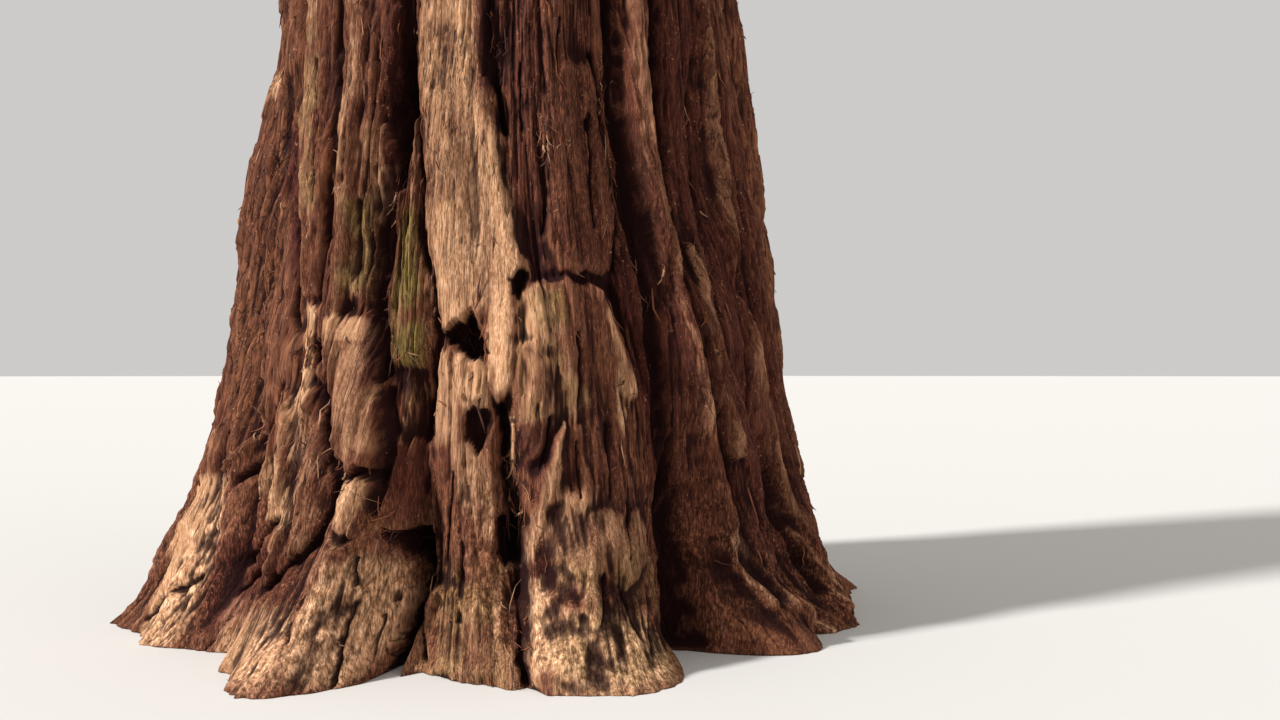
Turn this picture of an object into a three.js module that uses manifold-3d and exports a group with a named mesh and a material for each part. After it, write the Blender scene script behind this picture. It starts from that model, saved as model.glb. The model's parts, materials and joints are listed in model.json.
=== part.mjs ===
// A giant coast redwood, standing on level ground.
// The trunk is one solid from its flat cut at the ground to its tip, with a flared and buttressed foot.
// Boughs leave it in tiers of three, and each carries one mass of foliage.
// Sizes are written in metres of the real tree, which is 80 m tall, and the model stands 40 m tall.
// +Z is up, the origin is at the middle of the flat cut, and the front of the trunk faces -Y.
// Azimuths are in degrees, counter-clockwise from +X, so the front is at 270.

import * as THREE from "three";
import { mergeVertices } from "three/addons/utils/BufferGeometryUtils.js";
import Module from "manifold-3d";

const wasm = await Module();
wasm.setup();

const REAL_HEIGHT = 80;
const MODEL_HEIGHT = 40;
const MM = (1000 * MODEL_HEIGHT) / REAL_HEIGHT; // model millimetres for each metre of the real tree
const GAP = 0.4 / MM; // clear space between touching solids, in real metres

const TRUNK = {
  tip: 79.2, // height where the leader ends, inside the top mass
  stemRadius: 1.43,
  taper: 0.8,
  flare: 0.7, // how far the foot spreads beyond the stem at the ground
  flareHeight: 3.1,
  lean: 0.007, // sideways drift to the right for each metre of height
  sides: 56,
  levels: 22,
  levelSpread: 2.2, // levels crowd towards the ground
};

// Shallow ribs that run up the whole stem, coarse and fine ones together, in a slow twist.
const FLUTES = {
  depth: 0.022, // share of the stem's radius
  coarse: 9,
  coarseStart: 0.7,
  fine: 14,
  fineShare: 0.6,
  fineDrift: 0.11,
  twist: 0.02, // radians for each metre of height
};

// Root buttresses: reach beyond the flared foot at the ground, half width in degrees, and height of fading out.
const TOES = [
  { azimuth: 191, reach: 0.28, width: 12, height: 1.4 },
  { azimuth: 211, reach: 0.08, width: 9, height: 1.4 },
  { azimuth: 248, reach: 0.36, width: 10, height: 0.9 },
  { azimuth: 289, reach: 0.26, width: 9, height: 1.2 },
  { azimuth: 321, reach: 0.2, width: 8, height: 1.0 },
  { azimuth: 349, reach: 0.16, width: 11, height: 2.4 },
  { azimuth: 17, reach: 0.42, width: 12, height: 1.6 },
  { azimuth: 45, reach: 0.2, width: 10, height: 2.2 },
  { azimuth: 70, reach: 0.34, width: 12, height: 1.4 },
  { azimuth: 98, reach: 0.18, width: 9, height: 2.4 },
  { azimuth: 124, reach: 0.36, width: 12, height: 1.5 },
  { azimuth: 155, reach: 0.22, width: 11, height: 2.0 },
];

// Hollows between the buttresses: depth at their lowest point, half width in degrees, and height of fading out.
const HOLLOWS = [
  { azimuth: 226, depth: 0.2, width: 7, height: 0.9 },
  { azimuth: 261, depth: 0.56, width: 6, height: 1.3 },
  { azimuth: 273, depth: 0.46, width: 7, height: 1.1 },
  { azimuth: 308, depth: 0.42, width: 8, height: 0.9 },
  { azimuth: 335, depth: 0.14, width: 5, height: 1.1 },
  { azimuth: 2, depth: 0.2, width: 6, height: 1.2 },
  { azimuth: 32, depth: 0.3, width: 6, height: 1.3 },
  { azimuth: 57, depth: 0.26, width: 6, height: 1.1 },
  { azimuth: 84, depth: 0.34, width: 7, height: 1.4 },
  { azimuth: 110, depth: 0.26, width: 6, height: 1.0 },
  { azimuth: 140, depth: 0.32, width: 7, height: 1.3 },
  { azimuth: 172, depth: 0.26, width: 6, height: 1.1 },
];

// Swells of the stem above the foot, each centred at its own height.
const SWELLS = [
  { azimuth: 352, out: 0.07, width: 22, height: 2.5, spread: 0.8 },
  { azimuth: 200, out: 0.07, width: 20, height: 2.5, spread: 1.0 },
  { azimuth: 282, out: 0.07, width: 26, height: 1.3, spread: 0.9 },
];

const CROWN = {
  foot: 26, // height where the crown starts
  widest: 0.2, // share of the crown's height where it is widest
  radius: 8.8,
  footShare: 0.7, // radius at the crown's foot as a share of the widest
  narrowing: 0.74, // under 1 keeps the upper crown full
};

const TIERS = {
  count: 9,
  perTier: 3,
  lowest: 30.5,
  highest: 71.5,
  fineTiers: 1, // the lowest, largest masses have the finer facets
  crowding: 0.92, // under 1 brings the upper tiers closer together
  firstAzimuth: 25,
  turn: 73, // degrees that each tier is turned from the one below
  heightScatter: 1.5,
  scatterFade: 0.5, // share of the height scatter lost by the top tier
  azimuthScatter: 14,
  leastReach: 0.84, // share of the crown's radius
  reachScatter: 0.22,
  seed: 17,
};

// A small bough that stands alone on the bare stem under the crown.
const LONE = { height: 22.5, azimuth: 332, reach: 4.9, seed: 300 };

const BOUGH = {
  bareShare: 0.13, // share of the crown's radius where the bough shows before its foliage
  thickness: 0.034, // root radius for each metre of reach, added to the least radius
  leastRadius: 0.05,
  collar: 1.35, // swelling where it leaves the stem
  collarLength: 0.12,
  tipShare: 0.45,
  arch: 0.1, // rise of the middle for each metre of reach
  rootInset: 0.6, // share of the stem's radius where the uncut limb starts
  endDrop: 0.1, // the limb's end lies under its mass's middle, by this share of the half height
  sides: 5,
  steps: 3,
};

const MASS = {
  acrossShare: 1.14, // width across, against the crown's radius there
  halfHeight: 4.5,
  leastHeightShare: 0.5, // height of the smallest mass against the largest
  underside: 0.62, // the underside is flatter than the top
  droop: 0.42, // fall of the outer end of the lowest masses, for each metre of reach
  topDroop: 0.12,
  droopStart: 0.3, // the fall starts inside the middle, by this share of the half length
  unevenness: 0.13,
  waves: 7,
  slowestWave: 2,
  waveRange: 4,
};

const TOP_MASS = { radius: 1.7, footShare: 1.25, headShare: 0.26, foot: 72, unevenness: 0.08, seed: 91 };

// A small repeatable source of numbers from 0 to 1.
function seededRandom(seed) {
  let state = seed >>> 0;
  return () => {
    state = (state + 0x6d2b79f5) >>> 0;
    let mixed = Math.imul(state ^ (state >>> 15), state | 1);
    mixed ^= mixed + Math.imul(mixed ^ (mixed >>> 7), mixed | 61);
    return ((mixed ^ (mixed >>> 14)) >>> 0) / 4294967296;
  };
}

const radians = (degrees) => (degrees * Math.PI) / 180;
const turnBetween = (a, b) => ((((a - b) % 360) + 540) % 360) - 180;
const bell = (x) => Math.exp(-x * x);

function trunkRadius(azimuth, height) {
  const stem = TRUNK.stemRadius * Math.pow(Math.max(1 - height / REAL_HEIGHT, 0), TRUNK.taper);
  let radius = stem + TRUNK.flare * Math.exp(-height / TRUNK.flareHeight);
  for (const toe of TOES) {
    const across = bell(turnBetween(azimuth, toe.azimuth) / toe.width);
    radius += toe.reach * across * Math.exp(-height / toe.height);
  }
  for (const hollow of HOLLOWS) {
    const across = bell(turnBetween(azimuth, hollow.azimuth) / hollow.width);
    radius -= hollow.depth * across * bell(height / hollow.height);
  }
  for (const swell of SWELLS) {
    const across = bell(turnBetween(azimuth, swell.azimuth) / swell.width);
    radius += swell.out * across * bell((height - swell.height) / swell.spread);
  }
  const turned = radians(azimuth) + FLUTES.twist * height;
  const coarse = Math.cos(FLUTES.coarse * turned + FLUTES.coarseStart);
  const fine = Math.cos(FLUTES.fine * turned - FLUTES.fineDrift * height);
  return radius + FLUTES.depth * stem * (coarse + FLUTES.fineShare * fine);
}

const trunkAxis = (height) => TRUNK.lean * height;

// A closed surface from rings of points, with a fan over each end.
function ringsToGeometry(rings) {
  const sides = rings[0].length;
  const positions = [];
  const indices = [];
  for (const ring of rings) for (const point of ring) positions.push(point.x, point.y, point.z);
  for (let level = 0; level < rings.length - 1; level++) {
    for (let side = 0; side < sides; side++) {
      const a = level * sides + side;
      const b = level * sides + ((side + 1) % sides);
      indices.push(a, b, b + sides, a, b + sides, a + sides);
    }
  }
  const middle = (ring) =>
    ring.reduce((sum, point) => sum.add(point), new THREE.Vector3()).divideScalar(ring.length);
  const foot = middle(rings[0]);
  const head = middle(rings[rings.length - 1]);
  const footIndex = positions.length / 3;
  positions.push(foot.x, foot.y, foot.z, head.x, head.y, head.z);
  const last = (rings.length - 1) * sides;
  for (let side = 0; side < sides; side++) {
    const next = (side + 1) % sides;
    indices.push(footIndex, next, side, footIndex + 1, last + side, last + next);
  }
  const geometry = new THREE.BufferGeometry();
  geometry.setAttribute("position", new THREE.Float32BufferAttribute(positions, 3));
  geometry.setIndex(indices);
  return geometry;
}

// The trunk, or with a clearance the slightly larger cutter that fits round it.
function trunkGeometry(clearance = 0) {
  const rings = [];
  for (let level = 0; level <= TRUNK.levels; level++) {
    const height = TRUNK.tip * Math.pow(level / TRUNK.levels, TRUNK.levelSpread);
    const ring = [];
    for (let side = 0; side < TRUNK.sides; side++) {
      const azimuth = (360 * side) / TRUNK.sides;
      const radius = trunkRadius(azimuth, height) + clearance;
      ring.push(
        new THREE.Vector3(
          MM * (trunkAxis(height) + radius * Math.cos(radians(azimuth))),
          MM * radius * Math.sin(radians(azimuth)),
          MM * (height + (level === TRUNK.levels ? clearance : 0)),
        ),
      );
    }
    rings.push(ring);
  }
  return ringsToGeometry(rings);
}

function crownRadius(height) {
  const share = (height - CROWN.foot) / (REAL_HEIGHT - CROWN.foot);
  if (share < CROWN.widest) {
    const rise = Math.max(share, 0) / CROWN.widest;
    return CROWN.radius * (CROWN.footShare + (1 - CROWN.footShare) * rise);
  }
  return CROWN.radius * Math.pow((1 - share) / (1 - CROWN.widest), CROWN.narrowing);
}

// A tapering limb along a curve, with flat ends.
function limbGeometry(curve, radiusAt) {
  const frames = curve.computeFrenetFrames(BOUGH.steps);
  const rings = [];
  for (let step = 0; step <= BOUGH.steps; step++) {
    const share = step / BOUGH.steps;
    const centre = curve.getPointAt(share);
    const ring = [];
    for (let side = 0; side < BOUGH.sides; side++) {
      const turn = (2 * Math.PI * side) / BOUGH.sides;
      ring.push(
        centre
          .clone()
          .addScaledVector(frames.normals[step], Math.cos(turn) * radiusAt(share))
          .addScaledVector(frames.binormals[step], Math.sin(turn) * radiusAt(share)),
      );
    }
    rings.push(ring);
  }
  return ringsToGeometry(rings);
}

// Sums a few slow waves over the sphere, so that a mass is lumpy in its own way.
function unevenShape(random, amount) {
  const waves = Array.from({ length: MASS.waves }, () => ({
    direction: new THREE.Vector3(random() - 0.5, random() - 0.5, random() - 0.5).normalize(),
    pitch: MASS.slowestWave + MASS.waveRange * random(),
    start: 2 * Math.PI * random(),
  }));
  return (direction) => {
    const sum = waves.reduce(
      (total, wave) => total + Math.sin(wave.pitch * direction.dot(wave.direction) + wave.start),
      0,
    );
    return 1 + (amount * sum) / Math.sqrt(MASS.waves / 2);
  };
}

// A mass of foliage at the end of a bough: a lumpy, drooping cushion with a flatter underside.
function massGeometry(plan, clearance = 0) {
  const shape = unevenShape(seededRandom(plan.seed), MASS.unevenness);
  const geometry = mergedSphere(plan.detail);
  const outward = new THREE.Vector3(Math.cos(radians(plan.azimuth)), Math.sin(radians(plan.azimuth)), 0);
  const across = new THREE.Vector3(-outward.y, outward.x, 0);
  const position = geometry.getAttribute("position");
  for (let i = 0; i < position.count; i++) {
    const direction = new THREE.Vector3().fromBufferAttribute(position, i);
    const size = shape(direction);
    const along = direction.x * (plan.halfLength * size + clearance);
    const side = direction.y * (plan.halfWidth * size + clearance);
    const flatness = direction.z < 0 ? MASS.underside : 1;
    const up = direction.z * (plan.halfHeight * flatness * size + clearance);
    const fall = plan.droop * Math.max(along + plan.halfLength * MASS.droopStart, 0);
    const point = plan.centre
      .clone()
      .addScaledVector(outward, along)
      .addScaledVector(across, side)
      .add(new THREE.Vector3(0, 0, up - fall));
    position.setXYZ(i, point.x * MM, point.y * MM, point.z * MM);
  }
  return geometry;
}

// The mass round the leader: a lumpy cone that ends in the tree's highest point.
function topMassGeometry(clearance = 0) {
  const shape = unevenShape(seededRandom(TOP_MASS.seed), TOP_MASS.unevenness);
  const geometry = mergedSphere(2);
  const position = geometry.getAttribute("position");
  const halfHeight = (REAL_HEIGHT - TOP_MASS.foot) / 2;
  for (let i = 0; i < position.count; i++) {
    const direction = new THREE.Vector3().fromBufferAttribute(position, i);
    const height = TOP_MASS.foot + halfHeight * (1 + direction.z);
    const share = THREE.MathUtils.lerp(TOP_MASS.footShare, TOP_MASS.headShare, (1 + direction.z) / 2);
    const radius = TOP_MASS.radius * share * shape(direction) + 2 * clearance;
    position.setXYZ(
      i,
      MM * (trunkAxis(height) + direction.x * radius),
      MM * direction.y * radius,
      MM * (height + direction.z * clearance),
    );
  }
  return geometry;
}

function mergedSphere(detail) {
  const sphere = new THREE.IcosahedronGeometry(1, detail);
  sphere.deleteAttribute("normal");
  sphere.deleteAttribute("uv");
  const merged = mergeVertices(sphere, 1e-5);
  // a vertex is turned to the very top, so that the tallest mass ends in a point
  merged.applyMatrix4(new THREE.Matrix4().makeRotationX(Math.atan2(1, (1 + Math.sqrt(5)) / 2)));
  return merged;
}

function toSolid(geometry) {
  return new wasm.Manifold(
    new wasm.Mesh({
      numProp: 3,
      vertProperties: new Float32Array(geometry.getAttribute("position").array),
      triVerts: new Uint32Array(geometry.index.array),
    }),
  );
}

function toGeometry(solid) {
  const mesh = solid.getMesh();
  const geometry = new THREE.BufferGeometry();
  geometry.setAttribute("position", new THREE.Float32BufferAttribute(mesh.vertProperties, 3));
  geometry.setIndex(Array.from(mesh.triVerts));
  geometry.computeVertexNormals();
  return geometry;
}

// The largest piece that a cut leaves.
function largestPiece(solid) {
  return solid.decompose().reduce((best, piece) => (piece.volume() > best.volume() ? piece : best));
}

// Where each bough starts and what its mass measures.
function planBough(name, height, azimuth, reach, seed, detail) {
  const share = (height - CROWN.foot) / (REAL_HEIGHT - CROWN.foot);
  const stem = trunkRadius(azimuth, height);
  const start = stem + BOUGH.bareShare * reach;
  const halfLength = (reach - start) / 2;
  const outward = new THREE.Vector3(Math.cos(radians(azimuth)), Math.sin(radians(azimuth)), 0);
  const sizeShare = MASS.leastHeightShare + ((1 - MASS.leastHeightShare) * reach) / CROWN.radius;
  const halfHeight = MASS.halfHeight * sizeShare;
  const centre = outward.clone().multiplyScalar(start + halfLength);
  centre.x += trunkAxis(height);
  centre.z = height;
  return {
    name,
    azimuth,
    outward,
    reach,
    height,
    seed,
    detail,
    halfLength,
    halfHeight,
    droop: MASS.droop + (MASS.topDroop - MASS.droop) * share,
    halfWidth: (MASS.acrossShare * reach) / 2,
    centre,
  };
}

function boughGeometry(plan) {
  const rootRadius = BOUGH.thickness * plan.reach + BOUGH.leastRadius;
  const stem = trunkRadius(plan.azimuth, plan.height);
  const root = plan.outward.clone().multiplyScalar(stem * BOUGH.rootInset);
  root.x += trunkAxis(plan.height);
  root.z = plan.height - BOUGH.arch * plan.reach;
  const end = plan.centre.clone();
  end.z -= BOUGH.endDrop * plan.halfHeight;
  const middle = root.clone().lerp(end, 0.5);
  middle.z += BOUGH.arch * plan.reach;
  const curve = new THREE.QuadraticBezierCurve3(
    root.multiplyScalar(MM),
    middle.multiplyScalar(MM),
    end.multiplyScalar(MM),
  );
  return limbGeometry(curve, (share) => {
    const swell = 1 + (BOUGH.collar - 1) * Math.exp(-share / BOUGH.collarLength);
    return MM * rootRadius * swell * (1 - (1 - BOUGH.tipShare) * share);
  });
}

function planCrown() {
  const random = seededRandom(TIERS.seed);
  const plans = [planBough("lone", LONE.height, LONE.azimuth, LONE.reach, LONE.seed, 1)];
  for (let tier = 0; tier < TIERS.count; tier++) {
    const share = Math.pow(tier / (TIERS.count - 1), TIERS.crowding);
    for (let side = 0; side < TIERS.perTier; side++) {
      const height =
        TIERS.lowest +
        (TIERS.highest - TIERS.lowest) * share +
        TIERS.heightScatter * (2 * random() - 1) * (1 - TIERS.scatterFade * share);
      const azimuth =
        TIERS.firstAzimuth +
        TIERS.turn * tier +
        (360 * side) / TIERS.perTier +
        TIERS.azimuthScatter * (2 * random() - 1);
      const reach = crownRadius(height) * (TIERS.leastReach + TIERS.reachScatter * random());
      const name = `tier${tier + 1}_${"abc"[side]}`;
      const detail = tier < TIERS.fineTiers ? 2 : 1;
      plans.push(planBough(name, height, azimuth % 360, reach, plans.length, detail));
    }
  }
  return plans;
}

const barkMaterial = new THREE.MeshStandardMaterial({ color: 0x7a4a33, roughness: 0.95, metalness: 0 });
const boughMaterial = new THREE.MeshStandardMaterial({ color: 0x6a4735, roughness: 0.95, metalness: 0 });
const foliageMaterial = new THREE.MeshStandardMaterial({ color: 0x34502a, roughness: 0.8, metalness: 0 });

function namedMesh(name, geometry, material) {
  const mesh = new THREE.Mesh(geometry, material);
  mesh.name = name;
  return mesh;
}

function buildTree() {
  const tree = new THREE.Group();
  tree.name = "redwood";
  tree.add(namedMesh("trunk", trunkGeometry(), barkMaterial));
  const trunkCutter = toSolid(trunkGeometry(GAP));
  const topMass = toSolid(topMassGeometry()).subtract(trunkCutter);
  const topCutter = toSolid(topMassGeometry(GAP));
  tree.add(namedMesh("foliage_top", toGeometry(largestPiece(topMass)), foliageMaterial));
  const plans = planCrown();
  const cutters = plans.map((plan) => toSolid(massGeometry(plan, GAP)));
  const masses = plans.map((plan, i) => {
    let mass = toSolid(massGeometry(plan)).subtract(trunkCutter).subtract(topCutter);
    for (let other = 0; other < i; other++) mass = mass.subtract(cutters[other]);
    return largestPiece(mass);
  });
  plans.forEach((plan, i) => {
    let bough = toSolid(boughGeometry(plan)).subtract(trunkCutter);
    for (const cutter of [topCutter, ...cutters]) bough = bough.subtract(cutter);
    tree.add(namedMesh(`bough_${plan.name}`, toGeometry(largestPiece(bough)), boughMaterial));
    tree.add(namedMesh(`foliage_${plan.name}`, toGeometry(masses[i]), foliageMaterial));
  });
  return tree;
}

export default buildTree();
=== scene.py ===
# A giant coast redwood at half its real size: furrowed fibrous bark, a flared foot and a drooping crown
import json
import math
import bpy
import numpy as np
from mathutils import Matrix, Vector
from mathutils.bvhtree import BVHTree

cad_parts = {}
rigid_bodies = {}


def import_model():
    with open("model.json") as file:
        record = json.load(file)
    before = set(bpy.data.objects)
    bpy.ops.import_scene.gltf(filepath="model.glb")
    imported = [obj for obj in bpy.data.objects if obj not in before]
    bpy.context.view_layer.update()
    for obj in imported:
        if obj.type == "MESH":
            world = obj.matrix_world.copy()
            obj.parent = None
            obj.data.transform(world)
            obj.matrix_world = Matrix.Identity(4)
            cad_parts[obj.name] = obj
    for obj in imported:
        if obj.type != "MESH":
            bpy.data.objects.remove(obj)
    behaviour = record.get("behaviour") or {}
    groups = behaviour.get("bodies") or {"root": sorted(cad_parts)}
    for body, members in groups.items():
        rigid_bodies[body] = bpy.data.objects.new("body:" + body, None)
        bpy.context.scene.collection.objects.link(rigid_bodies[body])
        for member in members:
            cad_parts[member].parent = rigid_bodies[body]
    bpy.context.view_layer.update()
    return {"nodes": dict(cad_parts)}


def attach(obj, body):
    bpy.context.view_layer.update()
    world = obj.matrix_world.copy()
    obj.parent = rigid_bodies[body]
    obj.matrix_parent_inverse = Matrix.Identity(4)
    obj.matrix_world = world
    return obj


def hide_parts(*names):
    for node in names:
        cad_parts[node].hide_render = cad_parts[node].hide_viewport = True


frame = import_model()

half = 0.5  # metres of the model for each metre of the real tree

# Camera: a person's eye, almost nine metres in front of the real trunk
view = {
    "place": (0.465, -4.375, 0.825),
    "pitch": 0.5525,  # degrees upward
    "lens": 35.0,
    "sensor": 36.0,
    "sight": (2.6, 5.0, 2401),  # metres ahead between which a line of sight is tried, and how often
}
photo = {"width": 1280, "height": 720}


def addCamera():
    bpy.ops.object.camera_add(location=view["place"], rotation=(math.radians(90 + view["pitch"]), 0, 0))
    eye = bpy.context.object
    eye.name = "eye"
    eye.data.lens = view["lens"]
    eye.data.sensor_width = view["sensor"]
    eye.data.clip_start = 0.05
    eye.data.clip_end = 600
    bpy.context.scene.camera = eye


addCamera()
print("camera placed")

# Form of the trunk in real metres and degrees round from +X, the same as in the solid that it replaces
trunk = {
    "height": 80.0,
    "tip": 79.2,
    "stemRadius": 1.43,
    "taper": 0.8,
    "flare": 0.7,
    "flareHeight": 3.1,
    "lean": 0.007,
}
flutes = {
    "depth": 0.022, "coarse": 9, "start": 0.7, "fine": 14, "fineShare": 0.6, "drift": 0.11, "twist": 0.02,
}
toes = (  # azimuth, reach, half width, height of fading out
    (191, 0.28, 12, 1.4), (211, 0.08, 9, 1.4), (248, 0.36, 10, 0.9), (289, 0.26, 9, 1.2),
    (321, 0.20, 8, 1.0), (349, 0.16, 11, 2.4), (17, 0.42, 12, 1.6), (45, 0.20, 10, 2.2),
    (70, 0.34, 12, 1.4), (98, 0.18, 9, 2.4), (124, 0.36, 12, 1.5), (155, 0.22, 11, 2.0),
)
hollows = (  # azimuth, depth, half width, height of fading out
    (226, 0.20, 7, 0.9), (261, 0.56, 6, 1.3), (273, 0.46, 7, 1.1), (308, 0.42, 8, 0.9),
    (335, 0.14, 5, 1.1), (2, 0.20, 6, 1.2), (32, 0.30, 6, 1.3), (57, 0.26, 6, 1.1),
    (84, 0.34, 7, 1.4), (110, 0.26, 6, 1.0), (140, 0.32, 7, 1.3), (172, 0.26, 6, 1.1),
)
swells = (  # azimuth, bulge, half width, middle height, half height
    (352, 0.07, 22, 2.5, 0.8), (200, 0.07, 20, 2.5, 1.0), (282, 0.07, 26, 1.3, 0.9),
)


def turnBetween(a, b):
    return (a - b + 180) % 360 - 180


def bell(x):
    return np.exp(-x * x)


def rise(low, high, x):
    share = np.clip((x - low) / (high - low), 0, 1)
    return share * share * (3 - 2 * share)


def stemAt(height):
    return trunk["stemRadius"] * np.maximum(1 - height / trunk["height"], 0) ** trunk["taper"]


def trunkRadius(azimuth, height):
    def lobe(place, width):
        return bell(turnBetween(azimuth, place) / width)

    stem = stemAt(height)
    radius = stem + trunk["flare"] * np.exp(-height / trunk["flareHeight"])
    for place, reach, width, fade in toes:
        radius = radius + reach * lobe(place, width) * np.exp(-height / fade)
    for place, depth, width, fade in hollows:
        radius = radius - depth * lobe(place, width) * bell(height / fade)
    for place, bulge, width, middle, spread in swells:
        radius = radius + bulge * lobe(place, width) * bell((height - middle) / spread)
    turned = np.radians(azimuth) + flutes["twist"] * height
    ribs = np.cos(flutes["coarse"] * turned + flutes["start"])
    ribs = ribs + flutes["fineShare"] * np.cos(flutes["fine"] * turned - flutes["drift"] * height)
    return radius + flutes["depth"] * stem * ribs


def onTrunk(x, y):
    # azimuth and real height of the point of the trunk that shows at x, y of the photo
    pixels = view["lens"] / view["sensor"] * photo["width"]
    pitch = math.radians(view["pitch"])
    right, up = (x - photo["width"] / 2) / pixels, (photo["height"] / 2 - y) / pixels
    ray = np.array((right, math.cos(pitch) - up * math.sin(pitch), math.sin(pitch) + up * math.cos(pitch)))
    distances = np.linspace(*view["sight"])[:, None]
    points = (np.array(view["place"]) + distances * ray) / half
    across, deep = points[:, 0] - trunk["lean"] * points[:, 2], points[:, 1]
    azimuth = np.degrees(np.arctan2(deep, across)) % 360
    inside = np.hypot(across, deep) < trunkRadius(azimuth, np.maximum(points[:, 2], 0))
    first = int(np.argmax(inside)) if inside.any() else int(np.argmin(np.hypot(across, deep)))
    return azimuth[first], points[first, 2]


# How the grain of the bark runs: for each line, its azimuth at these real heights
grainHeights = (0.0, 0.6, 1.2, 1.9, 2.4, 3.0, 4.0)
grainLines = (
    *((azimuth,) * len(grainHeights) for azimuth in (32, 100, 172)),
    (197, 200, 202, 203, 203, 203, 203),
    (226, 227, 228, 229, 229, 229, 229),
    (246, 248, 250.5, 251, 250.5, 251, 252),
    (279, 278, 276.5, 276, 276, 276, 276),
    (309, 308, 307, 306.4, 304.5, 301, 299),
    (323, 317, 315, 314, 310, 306, 305.5),
    (344, 339, 335, 333.5, 331, 326, 325),
    (366, 358, 351, 347, 346, 345, 345),
)


def grainTurns(azimuth, height):
    # share of a turn, bent so that a line of the grain keeps one value all the way up
    ends = np.array([line[-1] for line in grainLines], float)
    bent = np.empty_like(azimuth)
    for row in range(len(azimuth)):
        places = np.array([np.interp(height[row, 0], grainHeights, line) for line in grainLines])
        local = azimuth[row] - places[0]
        local = np.where(local < 0, local + 360, local)
        bent[row] = np.interp(local, np.append(places - places[0], 360), np.append(ends, ends[0] + 360))
    return bent / 360


def grain(turns, along, cells, seed):
    # smooth noise from -1 to 1 with a number of cells round the trunk, so that it closes on itself
    angles = np.random.RandomState(seed).rand(cells, 512) * 2 * np.pi
    slopes = np.cos(angles), np.sin(angles)
    u = turns * cells
    column, row = np.floor(u).astype(int), np.floor(along).astype(int)
    du, dv = u - column, along - row

    def corner(i, j):
        at = (column + i) % cells, (row + j) % angles.shape[1]
        return slopes[0][at] * (du - i) + slopes[1][at] * (dv - j)

    blendU, blendV = (d * d * d * (d * (d * 6 - 15) + 10) for d in (du, dv))
    low = corner(0, 0) * (1 - blendU) + corner(1, 0) * blendU
    high = corner(0, 1) * (1 - blendU) + corner(1, 1) * blendU
    return 1.5 * (low * (1 - blendV) + high * blendV)


# Furrows between the ridges of the bark: cells round the trunk, real length of a cell, width, depth
furrows = (
    {"cells": 26, "length": 3.6, "width": 0.20, "depth": 0.070, "calm": 0.70, "seed": 21},
    {"cells": 58, "length": 2.3, "width": 0.18, "depth": 0.046, "calm": 0.88, "seed": 22},
    {"cells": 130, "length": 1.4, "width": 0.20, "depth": 0.032, "calm": 0.88, "seed": 23},
    {"cells": 290, "length": 0.8, "width": 0.28, "depth": 0.019, "calm": 0.75, "seed": 24},
    {"cells": 600, "length": 0.4, "width": 0.5, "depth": 0.010, "calm": 0.40, "seed": 25},
)
# Flakes with one crisp edge: cells round the trunk, real length of a cell, thickness
flakes = (
    {"cells": 40, "length": 1.6, "thickness": 0.026, "seed": 41},
    {"cells": 100, "length": 0.8, "thickness": 0.020, "seed": 42},
    {"cells": 240, "length": 0.35, "thickness": 0.011, "seed": 43},
)
# Rounded forms with creases between them: cells round the trunk, real length of a cell, height, foot only
billows = (
    {"cells": 44, "length": 2.4, "height": 0.045, "foot": False, "seed": 83},
    {"cells": 36, "length": 1.0, "height": 0.10, "foot": True, "seed": 81},
    {"cells": 90, "length": 0.45, "height": 0.045, "foot": True, "seed": 82},
)
crumbs = {"cells": 380, "length": 0.09, "depth": 0.010, "seed": 51}
# Rough crust on the lowest bark: cells round the trunk, real length of a cell, height
crusts = (
    {"cells": 150, "length": 0.16, "height": 0.016, "seed": 91},
    {"cells": 330, "length": 0.07, "height": 0.013, "seed": 92},
)
# Slower noise of every kind: amount, cells for each real metre, cells round the trunk, seed
slowNoise = {
    "sway": ((0.005, 0.4, 20, 11), (0.0012, 1.2, 60, 12)),
    "heave": ((0.022, 0.9, 18, 13), (0.012, 2.4, 44, 14)),
    "crumbling": ((1, 1.1, 26, 52),),
    "crusted": ((1, 1.3, 22, 93),),
    "calmer": ((1, 0.35, 15, 61),),
    "groundBulge": ((1, 0.5, 34, 62),),
    "strewnPlates": ((1, 1 / 2.1, 17, 67), (0.3, 1 / 0.7, 85, 68)),
    "worn": ((1, 0.6, 15, 64), (0.45, 1.9, 62, 65)),
    "shaded": ((1, 0.4, 13, 66), (0.3, 1.5, 50, 69)),
    "torn": ((1, 1 / 0.4, 240, 71), (0.7, 1 / 0.15, 560, 72)),
    "aside": ((0.55, 1 / 0.28, 70, 73), (0.25, 1 / 0.09, 190, 74)),
    "upAndDown": ((0.035, 1 / 0.30, 110, 75), (0.02, 1 / 0.12, 260, 76)),
}
longerFrom, longerBy = 3.6, 3.5  # above this real height the furrows run longer


def layered(turns, height, kind):
    layers = slowNoise[kind]
    return sum(amount * grain(turns, height * rate, cells, seed) for amount, rate, cells, seed in layers)


def drawnOut(height):
    over = np.maximum(height, longerFrom) - longerFrom
    return np.where(height < longerFrom, height, longerFrom + longerBy * np.log(1 + over / longerBy))


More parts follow.
